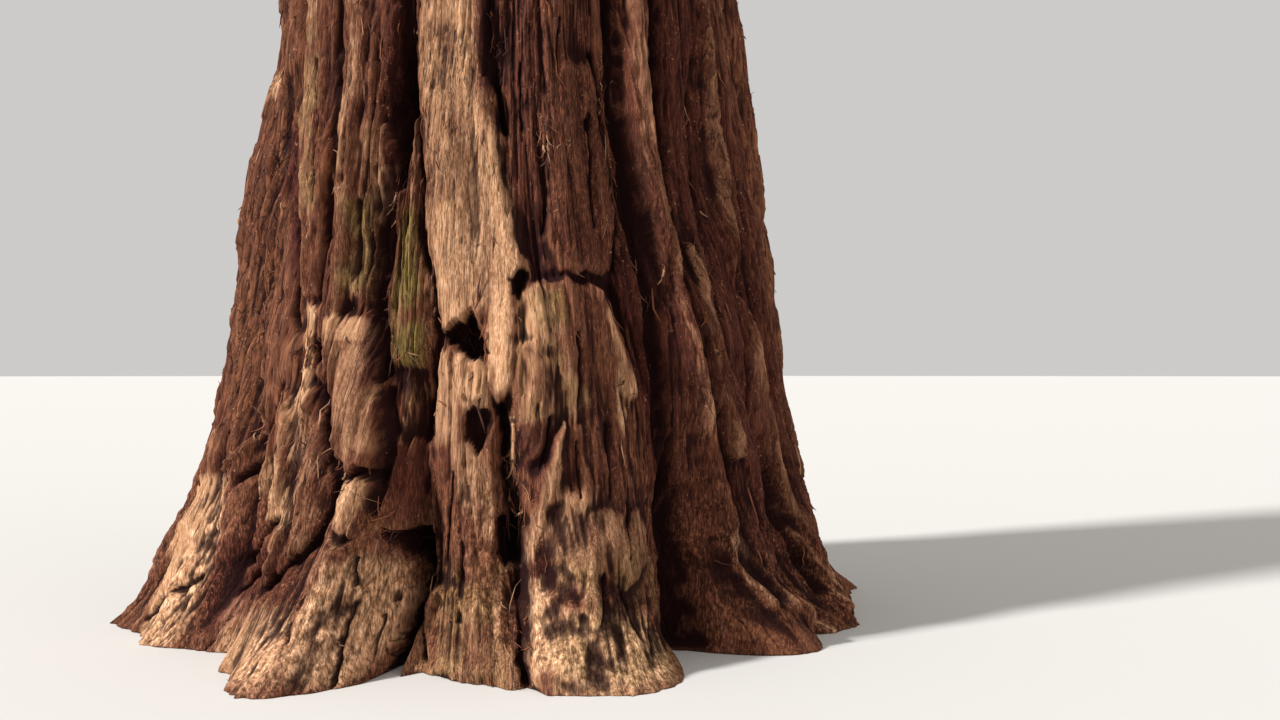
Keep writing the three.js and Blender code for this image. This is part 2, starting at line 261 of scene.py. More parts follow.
def generalRelief(turns, height, calm):
    height = drawnOut(height)
    across = turns + layered(turns, height, "sway")

    def pattern(layer):
        return grain(across, height / layer["length"], layer["cells"], layer["seed"])

    relief = layered(turns, height, "heave")
    foot = rise(2.0, 0.3, height)
    for layer in billows:
        swell = np.sqrt(pattern(layer) ** 2 + 0.003) - 0.2
        relief += layer["height"] * swell * (foot if layer["foot"] else 1 - 0.5 * calm)
    for layer in furrows:
        strength = 0.65 + 0.9 * grain(turns, height * 0.6, 30, layer["seed"] + 50)
        strength = np.clip(strength, 0.15, 1.4) * (1 - layer["calm"] * calm)
        relief -= layer["depth"] * bell(np.abs(pattern(layer)) / layer["width"]) * strength
    for layer in flakes:
        torn = grain(across, height / layer["length"] * 3, layer["cells"] * 5, layer["seed"] + 5)
        edge = pattern(layer) + 0.3 * torn
        relief += layer["thickness"] * (rise(0.05, 0.16, edge) - 0.5) * (1 - 0.5 * calm)
    rough = rise(0.0, 0.5, layered(turns, height, "crumbling") + 0.5 * rise(1.2, 0.2, height))
    relief -= crumbs["depth"] * rise(0.1, 0.6, pattern(crumbs)) * rough * (1 - 0.7 * calm)
    crust = rise(1.5, 0.35, height) * rise(-0.35, 0.15, layered(turns, height, "crusted"))
    for layer in crusts:
        relief += layer["height"] * crust * pattern(layer)
    return relief, across, crust


# What the photo shows of the bark: x and y in the photo and, on a line, the half width in real centimetres
# Clefts: real depth, then the line that they follow
clefts = {
    "mainFissure": (0.19, ((404, -150, 1.5), (403, -80, 3.5), (402, -30, 4.5), (401, 30, 5), (394, 60, 6.5),
        (387, 92, 7.5), (390, 118, 5), (385, 150, 6), (378, 184, 6.5), (375, 215, 7), (372, 250, 7),
        (369, 290, 6), (371, 330, 4), (373, 380, 3))),
    "fissureRight": (0.1, ((398, 50, 2), (409, 100, 1.8), (416, 150, 2), (423, 190, 2.5), (417, 230, 3),
        (429, 270, 3.2), (435, 300, 3), (438, 330, 3), (431, 372, 2), (428, 430, 1.5))),
    "leftGroove": (0.08, ((331, -110, 1), (330, -20, 3), (328, 60, 3.5), (325, 150, 3), (318, 230, 2),
        (312, 300, 1.5))),
    "leftCleft": (0.15, ((297, -70, 0.8), (296, -10, 1.5), (294, 95, 2), (287, 150, 5), (285, 190, 5),
        (291, 225, 3), (290, 270, 2.5), (289, 330, 2))),
    "leftEdge": (0.08, ((268, 60, 1.5), (262, 130, 2), (252, 200, 2.2), (244, 270, 1.5))),
    "edgeSlot": (0.1, ((264, 262, 1.2), (263, 298, 2.4), (266, 318, 1))),
    "lowLeft": (0.14, ((278, 392, 2), (266, 424, 4), (254, 450, 4.5), (243, 470, 3.5), (234, 484, 1.2))),
    "leftUnder": (0.07, ((264, 440, 1.2), (263, 480, 1.6), (255, 500, 1.4), (254, 530, 1.2))),
    "slantHigh": (0.1, ((276, 523, 2), (257, 542, 3.5), (240, 561, 3))),
    "slantLow": (0.09, ((272, 552, 1.5), (253, 573, 3), (236, 594, 2))),
    "besideToe": (0.12, ((322, 396, 3), (327, 440, 4), (330, 480, 4), (325, 512, 3), (309, 540, 3),
        (288, 565, 2.2), (262, 592, 1.5))),
    "besidePlate": (0.13, ((379, 395, 3), (381, 440, 4.5), (375, 480, 5), (366, 508, 3))),
    "underHole": (0.07, ((438, 350, 1.5), (428, 400, 2), (424, 450, 2), (428, 500, 2), (430, 530, 3))),
    "middleCleft": (0.18, ((501, 408, 2), (505, 450, 3), (510, 485, 3), (519, 520, 5), (517, 550, 5),
        (522, 590, 4), (524, 620, 3.5), (517, 650, 2.5), (520, 668, 2))),
    "rightGroove": (0.19, ((616, -160, 1.5), (617, -70, 3.5), (617, -20, 4), (618, 60, 4.5), (621, 110, 5),
        (633, 165, 6), (641, 205, 7), (650, 245, 7), (661, 300, 6), (666, 345, 5), (670, 400, 5),
        (673, 456, 5.5), (676, 540, 6.5), (681, 590, 7), (687, 641, 7))),
    "panelEdge": (0.06, ((596, 50, 1.5), (603, 90, 2), (609, 140, 2), (618, 190, 2), (623, 230, 2.2),
        (621, 270, 1.5))),
    "topKnot": (0.16, ((484, -90, 1.5), (485, -20, 4), (487, 28, 5), (490, 64, 4), (497, 92, 1.5),
        (503, 130, 1))),
    "besideRidge": (0.18, ((660, -150, 1.5), (662, -20, 4), (664, 80, 4), (669, 160, 3.5), (681, 225, 4),
        (692, 290, 4), (706, 360, 3.5), (722, 440, 4), (737, 500, 5), (755, 560, 5), (778, 600, 4))),
    "farGroove": (0.2, ((697, 60, 1.5), (702, 140, 3.5), (708, 190, 4.5), (716, 240, 4), (722, 290, 2),
        (734, 350, 2), (752, 420, 3), (772, 480, 3.5), (795, 540, 4), (812, 590, 3))),
    "rim": (0.19, ((716, 90, 2), (727, 160, 3.5), (738, 220, 4.5), (746, 280, 5), (752, 320, 4),
        (764, 380, 3), (782, 440, 3), (800, 500, 3))),
    "cleftInToe": (0.06, ((398, 560, 1.8), (396, 600, 1.5))),
    "shelfCrack": (0.06, ((204, 579, 2), (190, 588, 2), (176, 598, 2.2), (160, 618, 1.8))),
}
# Short thin cracks: their ends, and a half width that is the same for all
cracks = (
    ((520, 62), (522, 128)), ((546, 140), (545, 232)), ((628, 504), (627, 557)), ((601, 574), (597, 624)),
    ((619, 594), (630, 633)), ((642, 602), (640, 641)), ((386, 612), (376, 672)), ((360, 553), (357, 584)),
    ((352, 609), (345, 642)), ((344, 642), (340, 681)), ((299, 622), (297, 640)), ((242, 619), (228, 645)),
    ((577, 442), (577, 498)), ((560, 20), (556, 70)), ((577, 330), (580, 420)), ((607, 420), (612, 500)),
    ((650, 560), (655, 640)), ((548, 420), (540, 470)), ((350, 200), (346, 290)), ((310, 60), (308, 200)),
    ((455, 470), (452, 560)), ((470, 540), (468, 610)), ((430, 590), (440, 650)), ((345, 90), (342, 180)),
    ((590, 120), (596, 230)),
)
# Ridges: real height, then the line
ridges = {
    "splinters": (0.035, ((306, 308, 1.5), (304, 340, 2.2), (303, 372, 2.2), (306, 405, 1.5))),
    "strand": (0.035, ((511, 430, 0.8), (512, 460, 1.2), (510, 496, 0.8))),
    "centreFoot": (0.1, ((563, 424, 0.5), (558, 444, 2), (550, 470, 3.5), (540, 505, 4), (532, 545, 4.5),
        (530, 600, 5), (528, 660, 5))),
    "longRidge": (0.13, ((638, -170, 1.5), (639, -80, 4), (640, -20, 5), (644, 60, 5), (646, 120, 5),
        (655, 175, 5), (668, 225, 5), (684, 275, 4), (694, 330, 4), (704, 400, 4), (718, 470, 5),
        (740, 535, 6), (770, 590, 6), (790, 625, 5))),
    "thinRidge": (0.11, ((692, -90, 0.8), (697, -10, 1.5), (704, 60, 1.8), (716, 128, 2), (726, 190, 2.2),
        (736, 242, 2.2), (746, 293, 2), (752, 350, 2), (766, 420, 4), (786, 495, 5), (812, 556, 5),
        (824, 600, 5))),
    "bornRidge": (0.1, ((694, 244, 1), (701, 262, 3.2), (711, 320, 3.5), (722, 390, 3), (735, 450, 3))),
    "knee": (0.07, ((596, 290, 1.5), (606, 312, 3), (618, 345, 3.5), (627, 368, 3.5), (632, 400, 2))),
    "leftSmooth": (0.04, ((345, 90, 3), (342, 150, 5), (340, 220, 5), (345, 290, 3))),
    "leftTan": (0.05, ((288, 400, 2), (284, 440, 3), (280, 490, 3), (277, 530, 2.5), (270, 570, 2))),
    "leftWide": (0.045, ((308, 410, 5), (311, 460, 7), (306, 510, 6), (290, 555, 4))),
    "leftLit": (0.04, ((262, 402, 1.2), (250, 430, 1.6), (238, 452, 1.6), (228, 466, 1))),
    "leftRoot": (0.06, ((226, 430, 3), (208, 480, 5), (190, 540, 7), (172, 590, 7), (156, 622, 6))),
    "fibreLine": (0.03, ((297, 60, 1), (297, 120, 1.2), (299, 180, 1.2), (302, 240, 1), (300, 300, 1))),
    "redFace": (0.03, ((408, 120, 2), (410, 170, 2.5), (404, 240, 5), (400, 320, 6), (402, 380, 5),
        (400, 440, 4))),
    "caveLip": (0.16, ((444, 590, 3), (438, 618, 4.5), (431, 645, 6), (430, 678, 7))),
    "cleftLip": (0.08, ((524, 600, 2.5), (521, 630, 4), (514, 655, 4.5), (510, 680, 5))),
    "toeSpine": (0.04, ((352, 500, 3), (338, 545, 5), (322, 600, 7), (300, 650, 7), (282, 682, 6))),
}
# Holes: real depth, then the outline
holes = {
    "darkHole": (0.17, ((441, 333), (452, 323), (463, 322), (473, 313), (481, 330), (490, 352), (484, 358),
        (466, 357), (456, 350), (448, 345))),
    "underPale": (0.12, ((465, 409), (474, 404), (491, 408), (495, 425), (491, 442), (480, 450), (470, 440),
        (463, 425))),
    "notch": (0.1, ((508, 277), (517, 272), (531, 276), (527, 288), (519, 299), (511, 293))),
    "mainHollow": (0.13, ((383, -60), (393, -110), (403, -60), (405, 60), (409, 110), (406, 150),
        (399, 182), (388, 190), (377, 176), (381, 150), (371, 122), (376, 100), (384, 70))),
    "cave": (0.45, ((380, 528), (404, 529), (420, 522), (431, 530), (438, 560), (437, 600), (429, 630),
        (423, 660), (428, 700), (366, 700), (380, 672), (396, 652), (410, 614), (413, 590), (413, 575),
        (398, 564), (386, 552))),
    "alcove": (0.16, ((496, 517), (508, 511), (523, 517), (526, 545), (523, 567), (506, 565), (497, 552))),
    "knotHollow": (0.09, ((380, 82), (388, 78), (394, 90), (391, 104), (381, 104))),
    "underPlate": (0.12, ((331, 467), (345, 472), (368, 465), (377, 470), (373, 490), (358, 479),
        (338, 484))),
    "lowHole": (0.08, ((331, 534), (344, 530), (353, 540), (347, 551), (335, 549))),
    "splinterHoleHigh": (0.06, ((311, 342), (316, 340), (319, 354), (315, 364), (310, 358))),
    "splinterHoleLow": (0.05, ((310, 376), (315, 374), (317, 388), (312, 394), (309, 386))),
    "fibreHole": (0.05, ((519, 126), (523, 124), (524, 140), (520, 142))),
    "panelPit": (0.04, ((587, 118), (594, 114), (597, 128), (591, 136), (586, 130))),
}
# Plates: real thickness at the lower and the upper end, softness of the edge in centimetres, outline
plates = {
    "centrePlate": (0.06, 0, 1.5, ((413, -60), (425, -130), (448, -200), (468, -140), (477, -60), (482, 40),
        (487, 90), (497, 150), (508, 210), (523, 268), (514, 280), (515, 320), (513, 362), (507, 396),
        (497, 405), (490, 384), (486, 352), (481, 330), (473, 313), (463, 322), (440, 332), (434, 290),
        (424, 230), (424, 190), (417, 150), (411, 90))),
    "leftPlate": (0.075, 0.03, 1.5, ((322, 321), (345, 315), (370, 318), (372, 360), (376, 410), (377, 450),
        (370, 465), (350, 471), (335, 462), (328, 430), (324, 380))),
    "shoulder": (0, 0.07, 2.5, ((530, 290), (545, 279), (566, 277), (585, 283), (604, 284), (618, 300),
        (634, 350), (646, 420), (650, 480), (600, 500), (560, 490), (538, 420), (526, 350))),
    "palePlate": (0.04, 0.02, 1.5, ((462, 360), (478, 358), (489, 372), (487, 396), (474, 402), (464, 398),
        (458, 380))),
    "litFace": (0.03, 0.05, 4, ((338, 486), (356, 480), (370, 490), (366, 508), (352, 520), (338, 524),
        (332, 506))),
    "recess": (-0.11, -0.07, 5, ((384, 372), (402, 366), (424, 374), (428, 402), (425, 440), (402, 446),
        (384, 434))),
    "column": (0.05, 0.05, 3.5, ((433, 345), (455, 352), (490, 362), (497, 420), (498, 500), (498, 560),
        (505, 600), (510, 660), (442, 660), (438, 600), (433, 540), (428, 470), (427, 400), (429, 360))),
    "nose": (0.08, 0.05, 5, ((514, 353), (530, 345), (548, 360), (553, 415), (546, 448), (531, 458),
        (518, 430), (513, 390))),
    "leafLeft": (0.02, 0.02, 2, ((588, 513), (606, 505), (624, 520), (628, 555), (615, 584), (598, 576),
        (587, 545))),
    "leafRight": (0.03, 0.02, 1.5, ((630, 510), (642, 510), (650, 529), (642, 558), (622, 590), (621, 560),
        (626, 530))),
    "skirt": (0.14, 0.03, 9, ((537, 645), (580, 626), (640, 626), (664, 642), (662, 700), (538, 700))),
    "toeLobe": (0.05, 0.05, 3, ((403, 560), (411, 566), (418, 585), (416, 604), (406, 606), (400, 590))),
    "burlLeft": (0.13, 0.05, 10, ((442, 596), (470, 584), (500, 596), (512, 630), (508, 672), (478, 682),
        (450, 678), (438, 632))),
    "burlRight": (0.05, 0.03, 12, ((570, 560), (600, 530), (640, 530), (655, 560), (652, 610), (620, 640),
        (580, 630))),
    "footRight": (0.11, 0.05, 8, ((535, 590), (560, 575), (580, 620), (572, 670), (540, 680), (528, 640))),
    "betweenFeet": (0.07, 0.06, 10, ((552, 490), (584, 490), (594, 560), (590, 616), (566, 606),
        (552, 560))),
    "rightPanel": (0.05, 0, 2, ((546, -60), (566, -140), (590, -70), (597, 50), (604, 90), (610, 140),
        (619, 190), (624, 240), (618, 272), (560, 272), (548, 240), (545, 160))),
}
# Patches of colour and of calmer bark: amount, softness in centimetres, then the outline. The pale patches
# are partly weathered bark and partly painted sunlight, and the darkening patches are painted shade
patches = {
    "pale": (
        (0.55, 8, ((413, -60), (425, -130), (448, -200), (468, -140), (477, -60), (484, 60), (494, 150),
            (510, 220), (523, 270), (500, 300), (480, 325), (440, 330), (432, 250), (420, 150))),
        (1, 10, ((440, -60), (452, -150), (466, -60), (474, 90), (500, 150), (516, 240), (522, 275),
            (503, 300), (488, 270), (484, 200), (470, 130), (448, 60))),
        (0.9, 10, ((430, 196), (460, 200), (472, 290), (476, 322), (440, 332), (431, 290))),
        (1, 5, ((490, 285), (512, 275), (514, 330), (508, 385), (497, 400), (488, 360))),
        (1, 3, ((457, 352), (480, 355), (491, 372), (489, 410), (466, 412), (456, 390))),
        (0.6, 5, ((426, 356), (446, 352), (458, 380), (462, 440), (440, 450), (427, 420))),
        (0.5, 6, ((450, 440), (478, 440), (498, 500), (500, 540), (475, 530), (460, 490))),
        (0.5, 10, ((545, 480), (600, 500), (600, 600), (548, 610))),
        (0.45, 6, ((514, 345), (560, 345), (592, 400), (562, 432), (520, 424))),
        (0.8, 5, ((514, 290), (545, 285), (560, 330), (552, 372), (530, 350), (514, 345))),
        (0.5, 2, ((556, 440), (566, 448), (552, 500), (538, 540), (527, 570), (521, 560), (534, 515),
            (546, 470))),
        (1, 1.5, ((507, 417), (514, 417), (514, 493), (508, 493))),
        (0.9, 2, ((499, 560), (524, 562), (520, 572), (502, 568))),
        (0.7, 3, ((600, 290), (612, 312), (626, 355), (632, 385), (624, 434), (616, 420), (618, 360),
            (604, 320))),
        (0.35, 6, ((592, 508), (640, 508), (650, 529), (640, 570), (616, 590), (596, 560))),
        (1, 6, ((527, 575), (548, 575), (556, 620), (552, 655), (528, 660), (524, 620))),
        (0.95, 8, ((556, 600), (640, 610), (650, 660), (600, 690), (548, 680))),
        (0.35, 8, ((440, 590), (510, 590), (510, 670), (440, 670))),
        (0.7, 3, ((322, 312), (350, 316), (372, 322), (370, 342), (324, 342))),
        (0.45, 6, ((326, 340), (372, 340), (376, 450), (336, 462))),
        (1, 1.5, ((300, 300), (309, 312), (308, 404), (301, 404), (299, 350))),
        (0.6, 3, ((288, 382), (306, 384), (304, 470), (286, 480))),
        (0.7, 4, ((330, 88), (343, 92), (346, 140), (342, 176), (331, 168))),
        (0.9, 2, ((366, 168), (380, 160), (376, 200), (366, 222), (360, 212))),
        (0.3, 6, ((348, 120), (382, 118), (366, 200), (350, 280), (338, 290), (340, 200))),
        (0.38, 5, ((302, -60), (308, -120), (314, -50), (313, 120), (310, 218), (302, 218))),
        (0.38, 6, ((338, -60), (346, -120), (354, -60), (356, 60), (350, 150), (346, 290), (332, 290),
            (336, 150))),
        (0.7, 7, ((258, 72), (271, 75), (268, 100), (256, 98))),
        (1, 5, ((334, 482), (361, 480), (362, 505), (348, 522), (332, 520))),
        (0.7, 3, ((242, 464), (260, 462), (262, 494), (246, 500))),
        (0.7, 4, ((263, 455), (283, 455), (288, 498), (284, 530), (266, 520))),
        (1, 6, ((200, 470), (228, 476), (222, 540), (206, 590), (192, 645), (130, 645), (150, 590),
            (180, 530))),
        (1, 6, ((310, 616), (336, 618), (338, 655), (318, 664), (308, 640))),
        (1, 8, ((296, 650), (312, 596), (340, 562), (380, 556), (408, 566), (412, 606), (384, 650),
            (352, 680), (300, 684))),
        (1, 5, ((345, 590), (370, 590), (370, 640), (348, 650))),
        (0.7, 4, ((380, 562), (402, 560), (412, 590), (404, 640), (384, 650))),
        (0.8, 8, ((230, 600), (300, 610), (300, 680), (240, 660))),
    ),
    # painted shade: in the recesses and on the flank away from the light
    "paintedShade": (
        (1, 5, ((474, -60), (486, -110), (498, -60), (503, 40), (498, 84), (480, 88), (474, 40))),
        (0.7, 6, ((502, -60), (520, -130), (543, -60), (548, 120), (545, 240), (524, 250), (508, 180),
            (500, 90))),
        (0.4, 8, ((548, -60), (570, -160), (598, -60), (622, 200), (628, 270), (560, 275), (545, 150))),
        (0.9, 5, ((382, -60), (394, -120), (404, -60), (408, 110), (404, 180), (390, 215), (384, 300),
            (386, 380), (362, 385), (360, 230), (374, 150), (370, 100))),
        (0.7, 6, ((386, 368), (430, 372), (432, 440), (420, 520), (386, 520), (378, 430))),
        (0.5, 4, ((516, 420), (556, 425), (552, 452), (538, 472), (520, 472))),
        (0.6, 4, ((280, 120), (298, 120), (298, 270), (286, 270), (280, 200))),
        (1, 5, ((270, 130), (284, 122), (294, 160), (302, 230), (300, 290), (290, 300), (284, 230),
            (272, 180))),
        (0.7, 6, ((216, 540), (262, 535), (290, 560), (250, 620), (216, 640))),
        (0.6, 6, ((316, 400), (330, 400), (330, 510), (280, 600), (262, 590), (306, 520))),
        (0.8, 22, ((618, -60), (650, -200), (690, -160), (712, -60), (745, 150), (775, 330), (805, 480),
            (790, 560), (700, 580), (664, 400), (630, 170))),
        (1, 6, ((606, 250), (640, 250), (668, 400), (688, 600), (668, 610), (655, 480), (634, 330))),
        (0.5, 10, ((250, 130), (262, 130), (240, 300), (215, 440), (200, 450), (235, 280))),
    ),
    "moss": (
        (1, 4, ((388, 200), (412, 205), (416, 260), (422, 330), (424, 396), (402, 408), (386, 380),
            (382, 320), (386, 250))),
        (0.6, 6, ((340, 200), (364, 196), (362, 290), (334, 290))),
        (0.4, 5, ((300, 20), (314, 20), (312, 210), (302, 210))),
        (0.6, 4, ((530, 292), (560, 290), (566, 322), (536, 330))),
        (0.45, 6, ((518, 345), (556, 345), (586, 396), (560, 425), (524, 415))),
        (0.4, 8, ((560, 560), (650, 540), (660, 640), (600, 690), (550, 660))),
        (0.35, 8, ((440, 560), (500, 560), (510, 670), (440, 670))),
    ),
    "calm": (
        (1, 5, ((413, -60), (425, -130), (448, -200), (470, -140), (480, -60), (487, 60), (497, 150),
            (508, 210), (523, 268), (497, 300), (480, 320), (440, 332), (434, 290), (424, 190))),
        (1, 5, ((488, 285), (514, 278), (514, 330), (508, 390), (494, 400), (486, 350))),
        (0.9, 6, ((548, 60), (600, 60), (622, 240), (618, 280), (548, 270))),
        (0.7, 8, ((326, 325), (370, 322), (374, 450), (336, 460))),
        (0.8, 6, ((302, -60), (308, -120), (320, -60), (321, 60), (318, 150), (310, 290), (296, 290),
            (298, 120))),
        (0.85, 6, ((335, -60), (346, -140), (358, -60), (362, 60), (354, 140), (348, 220), (344, 300),
            (326, 305), (334, 150))),
        (0.6, 9, ((530, 300), (600, 290), (640, 400), (655, 520), (600, 640), (530, 660), (545, 480))),
        (0.5, 20, ((642, -60), (670, -160), (698, -60), (745, 200), (765, 330), (800, 480), (850, 640),
            (700, 660), (672, 400), (650, 200))),
        (0.6, 9, ((300, 400), (325, 420), (330, 520), (380, 560), (400, 640), (280, 690), (200, 640),
            (270, 540))),
    ),
}


def placed(points):
    # azimuth and real height of the photo's points, with whatever else each of them holds
    return np.array([(*onTrunk(point[0], point[1]), *point[2:]) for point in points])


far, tiny = 9.0, 1e-12  # farther than any feature reaches, and against a division by nothing


def around(azimuth, height, points, reach):
    # which vertices lie near the points, then both laid flat in metres from the first point
    radius = trunkRadius(points[0, 0], max(points[0, 1], 0))

    def flat(turn, level):
        return np.radians(turnBetween(turn, points[0, 0])) * radius, level - points[0, 1]

    x, y = flat(azimuth, height)
    pointX, pointY = flat(points[:, 0], points[:, 1])
    near = (x > pointX.min() - reach) & (x < pointX.max() + reach)
    near &= (y > pointY.min() - reach) & (y < pointY.max() + reach)
    return near, x[near], y[near], pointX, pointY


def fromEdge(x, y, endX, endY):
    # distance from the straight edge between two ends, and the share of the edge where it comes nearest
    alongX, alongY = endX[1] - endX[0], endY[1] - endY[0]
    share = ((x - endX[0]) * alongX + (y - endY[0]) * alongY) / (alongX ** 2 + alongY ** 2 + tiny)
    share = np.clip(share, 0, 1)
    return np.hypot(x - endX[0] - share * alongX, y - endY[0] - share * alongY), share


def nearLine(azimuth, height, line, reach):
    # where the vertices near the line are, how far each lies from it, and the half width of the line there
    near, x, y, lineX, lineY = around(azimuth, height, line, reach)
    distance, width = np.full(x.shape, far), np.full(x.shape, 0.01)
    for i in range(len(line) - 1):
        gap, share = fromEdge(x, y, lineX[i:i + 2], lineY[i:i + 2])
        closer = gap < distance
        distance[closer] = gap[closer]
        width[closer] = (line[i, 2] + (line[i + 1, 2] - line[i, 2]) * share[closer]) / 100
    return near, distance, width


def insideOutline(azimuth, height, outline, reach):
    # where the vertices near the outline are, and how far inside it each lies, less than nothing outside
    near, x, y, cornerX, cornerY = around(azimuth, height, outline, reach)
    distance, crossings = np.full(x.shape, far), np.zeros(x.shape, int)
    for i in range(len(outline)):
        fromX, fromY, toX, toY = cornerX[i - 1], cornerY[i - 1], cornerX[i], cornerY[i]
        distance = np.minimum(distance, fromEdge(x, y, (fromX, toX), (fromY, toY))[0])
        spans = (fromY > y) != (toY > y)
        level = np.where(spans, (y - fromY) / (toY - fromY + tiny), 0)
        crossings += spans & (x < fromX + level * (toX - fromX))
    return near, np.where(crossings % 2 == 1, distance, -distance)


# Each feature once, by azimuth and real height
crackDepth, crackWidth = 0.05, 0.75
cleftLines = [(depth, placed(line)) for depth, line in clefts.values()]
cleftLines += [(crackDepth, placed([(x, y, crackWidth) for x, y in ends])) for ends in cracks]
ridgeLines = [(high, placed(line)) for high, line in ridges.values()]
holeOutlines = [(depth, placed(outline)) for depth, outline in holes.values()]
plateOutlines = [(under, over, soft, placed(outline)) for under, over, soft, outline in plates.values()]
patchOutlines = {kind: [(share, soft, placed(outline)) for share, soft, outline in group]
                 for kind, group in patches.items()}

# What the photo shows: its middle azimuth, and the spans of degrees and of real height over which it ends
photoShows = {"middle": 276, "sides": (80, 100), "top": (4.3, 5.2)}
# Plates and marks strewn by chance where the photo shows nothing: mark, noise, strength and where it begins
strewnPlate = 0.07
strewnMarks = (("pale", "worn", 0.8, 0.25), ("paintedShade", "shaded", 0.7, 0.15))
# In real metres: the gap between the middle roots, and how the bark bulges at the ground
middleGap = {"azimuth": 272.5, "halfWidth": 7, "fade": 1.1, "filling": 0.24}
groundBulge = {"least": 0.16, "uneven": 0.17, "fade": 0.26}
# Widths by the half width of a ridge or a cleft, shares of its depth and of its marks: a ridge's crest gets
# painted highlight and loses painted shade, and a deep cleft gets painted shade
ridgeForm = {"width": 1.3, "markWidth": 1.5, "pale": 0.32, "lessPaintedShade": 0.75}
cleftForm = {
    "floor": 0.66, "flanks": 0.34, "flankWidth": 3.2, "darkFrom": 0.12, "dark": 0.8, "darkWidth": 1.9,
}
# In real metres: how far round a feature vertices are looked at, and how much noise frays its edge
reaches = {"patch": 0.3, "plate": 0.35, "ridge": 0.35, "cleft": 0.3, "hole": 0.25}
frays = {"plate": 0.012, "hole": 0.01}


def strengthen(mark, values, near=slice(None)):
    mark[near] = np.maximum(mark[near], values)


def markAt(azimuth, height, kind):
    mark = np.zeros_like(azimuth)
    for share, soft, outline in patchOutlines[kind]:
        near, inside = insideOutline(azimuth, height, outline, reaches["patch"])
        strengthen(mark, share * rise(-soft / 100, soft / 100, inside), near)
    return mark


def barkShape(azimuth, height):
    turns = grainTurns(azimuth, height)
    marks = {kind: markAt(azimuth, height, kind) for kind in patches}
    strengthen(marks["calm"], 0.5 * rise(0.05, 0.5, layered(turns, height, "calmer")))
    relief, across, marks["crust"] = generalRelief(turns, height, marks["calm"])
    # on the sides of the toes, which run outward, the relief is held back
    ahead, behind = trunkRadius(azimuth + 0.5, height), trunkRadius(azimuth - 0.5, height)
    steepness = (ahead - behind) / (np.radians(1) * 0.5 * (ahead + behind))
    relief *= (0.45 + 0.55 * rise(0.0, 0.4, height)) / (1 + 0.5 * steepness ** 2)
    # the gap between the two roots in the middle is shallower than the solid shows
    gap = bell(turnBetween(azimuth, middleGap["azimuth"]) / middleGap["halfWidth"])
    relief += middleGap["filling"] * gap * bell(height / middleGap["fade"])
    # round the back and above the photo's edge, plates and patches are strewn by chance
    unseen = rise(*photoShows["sides"], np.abs(turnBetween(azimuth, photoShows["middle"])))
    unseen = np.maximum(unseen, rise(*photoShows["top"], height))
    upward = drawnOut(height)
    relief += strewnPlate * unseen * (rise(0.02, 0.12, layered(across, upward, "strewnPlates")) - 0.5)
    # the darker of the strewn marks is painted shade
    for kind, noise, strength, start in strewnMarks:
        strengthen(marks[kind], strength * unseen * rise(start, 0.6, layered(turns, upward, noise)))
    torn = layered(across, height, "torn")
    # the lines of the features wander by a centimetre or two
    azimuth = azimuth + layered(turns, height, "aside")
    height = height + layered(turns, height, "upAndDown")
    for under, over, soft, outline in plateOutlines:
        near, inside = insideOutline(azimuth, height, outline, reaches["plate"])
        lowest, highest = outline[:, 1].min(), outline[:, 1].max()
        thick = under + (over - under) * np.clip((height[near] - lowest) / (highest - lowest), 0, 1)
        relief[near] += thick * rise(-soft / 100, soft / 100, inside + frays["plate"] * torn[near])
    marks["carved"] = np.zeros_like(relief)
    for high, line in ridgeLines:
        near, distance, width = nearLine(azimuth, height, line, reaches["ridge"])
        relief[near] += high * bell(distance / (ridgeForm["width"] * width) + 0.1 * torn[near])
        # along its crest a ridge gets painted highlight and less painted shade
        crest = bell(distance / (ridgeForm["markWidth"] * width) + 0.15 * torn[near])
        marks["paintedShade"][near] *= 1 - ridgeForm["lessPaintedShade"] * crest
        strengthen(marks["pale"], ridgeForm["pale"] * crest, near)
    for depth, line in cleftLines:
        near, distance, width = nearLine(azimuth, height, line, reaches["cleft"])
        floor = 1 - rise(0.2, 1.4, distance / width + 0.3 * torn[near])
        flanks = bell(distance / (cleftForm["flankWidth"] * width))
        relief[near] -= depth * (cleftForm["floor"] * floor + cleftForm["flanks"] * flanks)
        # a deep cleft gets painted shade along its floor
        if depth > cleftForm["darkFrom"]:
            dark = bell(distance / (cleftForm["darkWidth"] * width) + 0.2 * torn[near])
            strengthen(marks["carved"], cleftForm["dark"] * dark, near)
    for depth, outline in holeOutlines:
        near, inside = insideOutline(azimuth, height, outline, reaches["hole"])
        # a hole is carved in and gets painted shade
        carved = rise(-0.01, 0.035, inside + frays["hole"] * torn[near])
        relief[near] -= depth * carved
        strengthen(marks["carved"], carved, near)
    bulge = groundBulge["least"] + groundBulge["uneven"] * layered(turns, height, "groundBulge")
    relief += bulge * np.exp(-np.maximum(height, 0) / groundBulge["fade"])
    strengthen(marks["calm"], rise(1.7, 0.7, height))
    thinner = np.clip(stemAt(height) / trunk["stemRadius"], 0.1, 1)  # the bark, as the stem itself
    return relief * thinner, across, marks


def smoothed(values, rows, columns):
    # box average over a window of rows and columns
    for axis, reach in ((0, rows), (1, columns)):
        padded = np.pad(values, [(reach + 1, reach) if a == axis else (0, 0) for a in (0, 1)], mode="edge")
        total = np.cumsum(padded, axis=axis)
        ahead = np.take(total, range(2 * reach + 1, total.shape[axis]), axis=axis)
        behind = np.take(total, range(0, total.shape[axis] - 2 * reach - 1), axis=axis)
        values = (ahead - behind) / (2 * reach + 1)
    return values


footTop, stemJoint = 4.8, 20.0  # real heights at which one piece of bark ends and the next begins
jointHeight = 0.6  # over which a piece takes the form of the one above
meanRadius = {"run": 1.9, "foot": 1.8}  # by which turns become lengths, in real metres


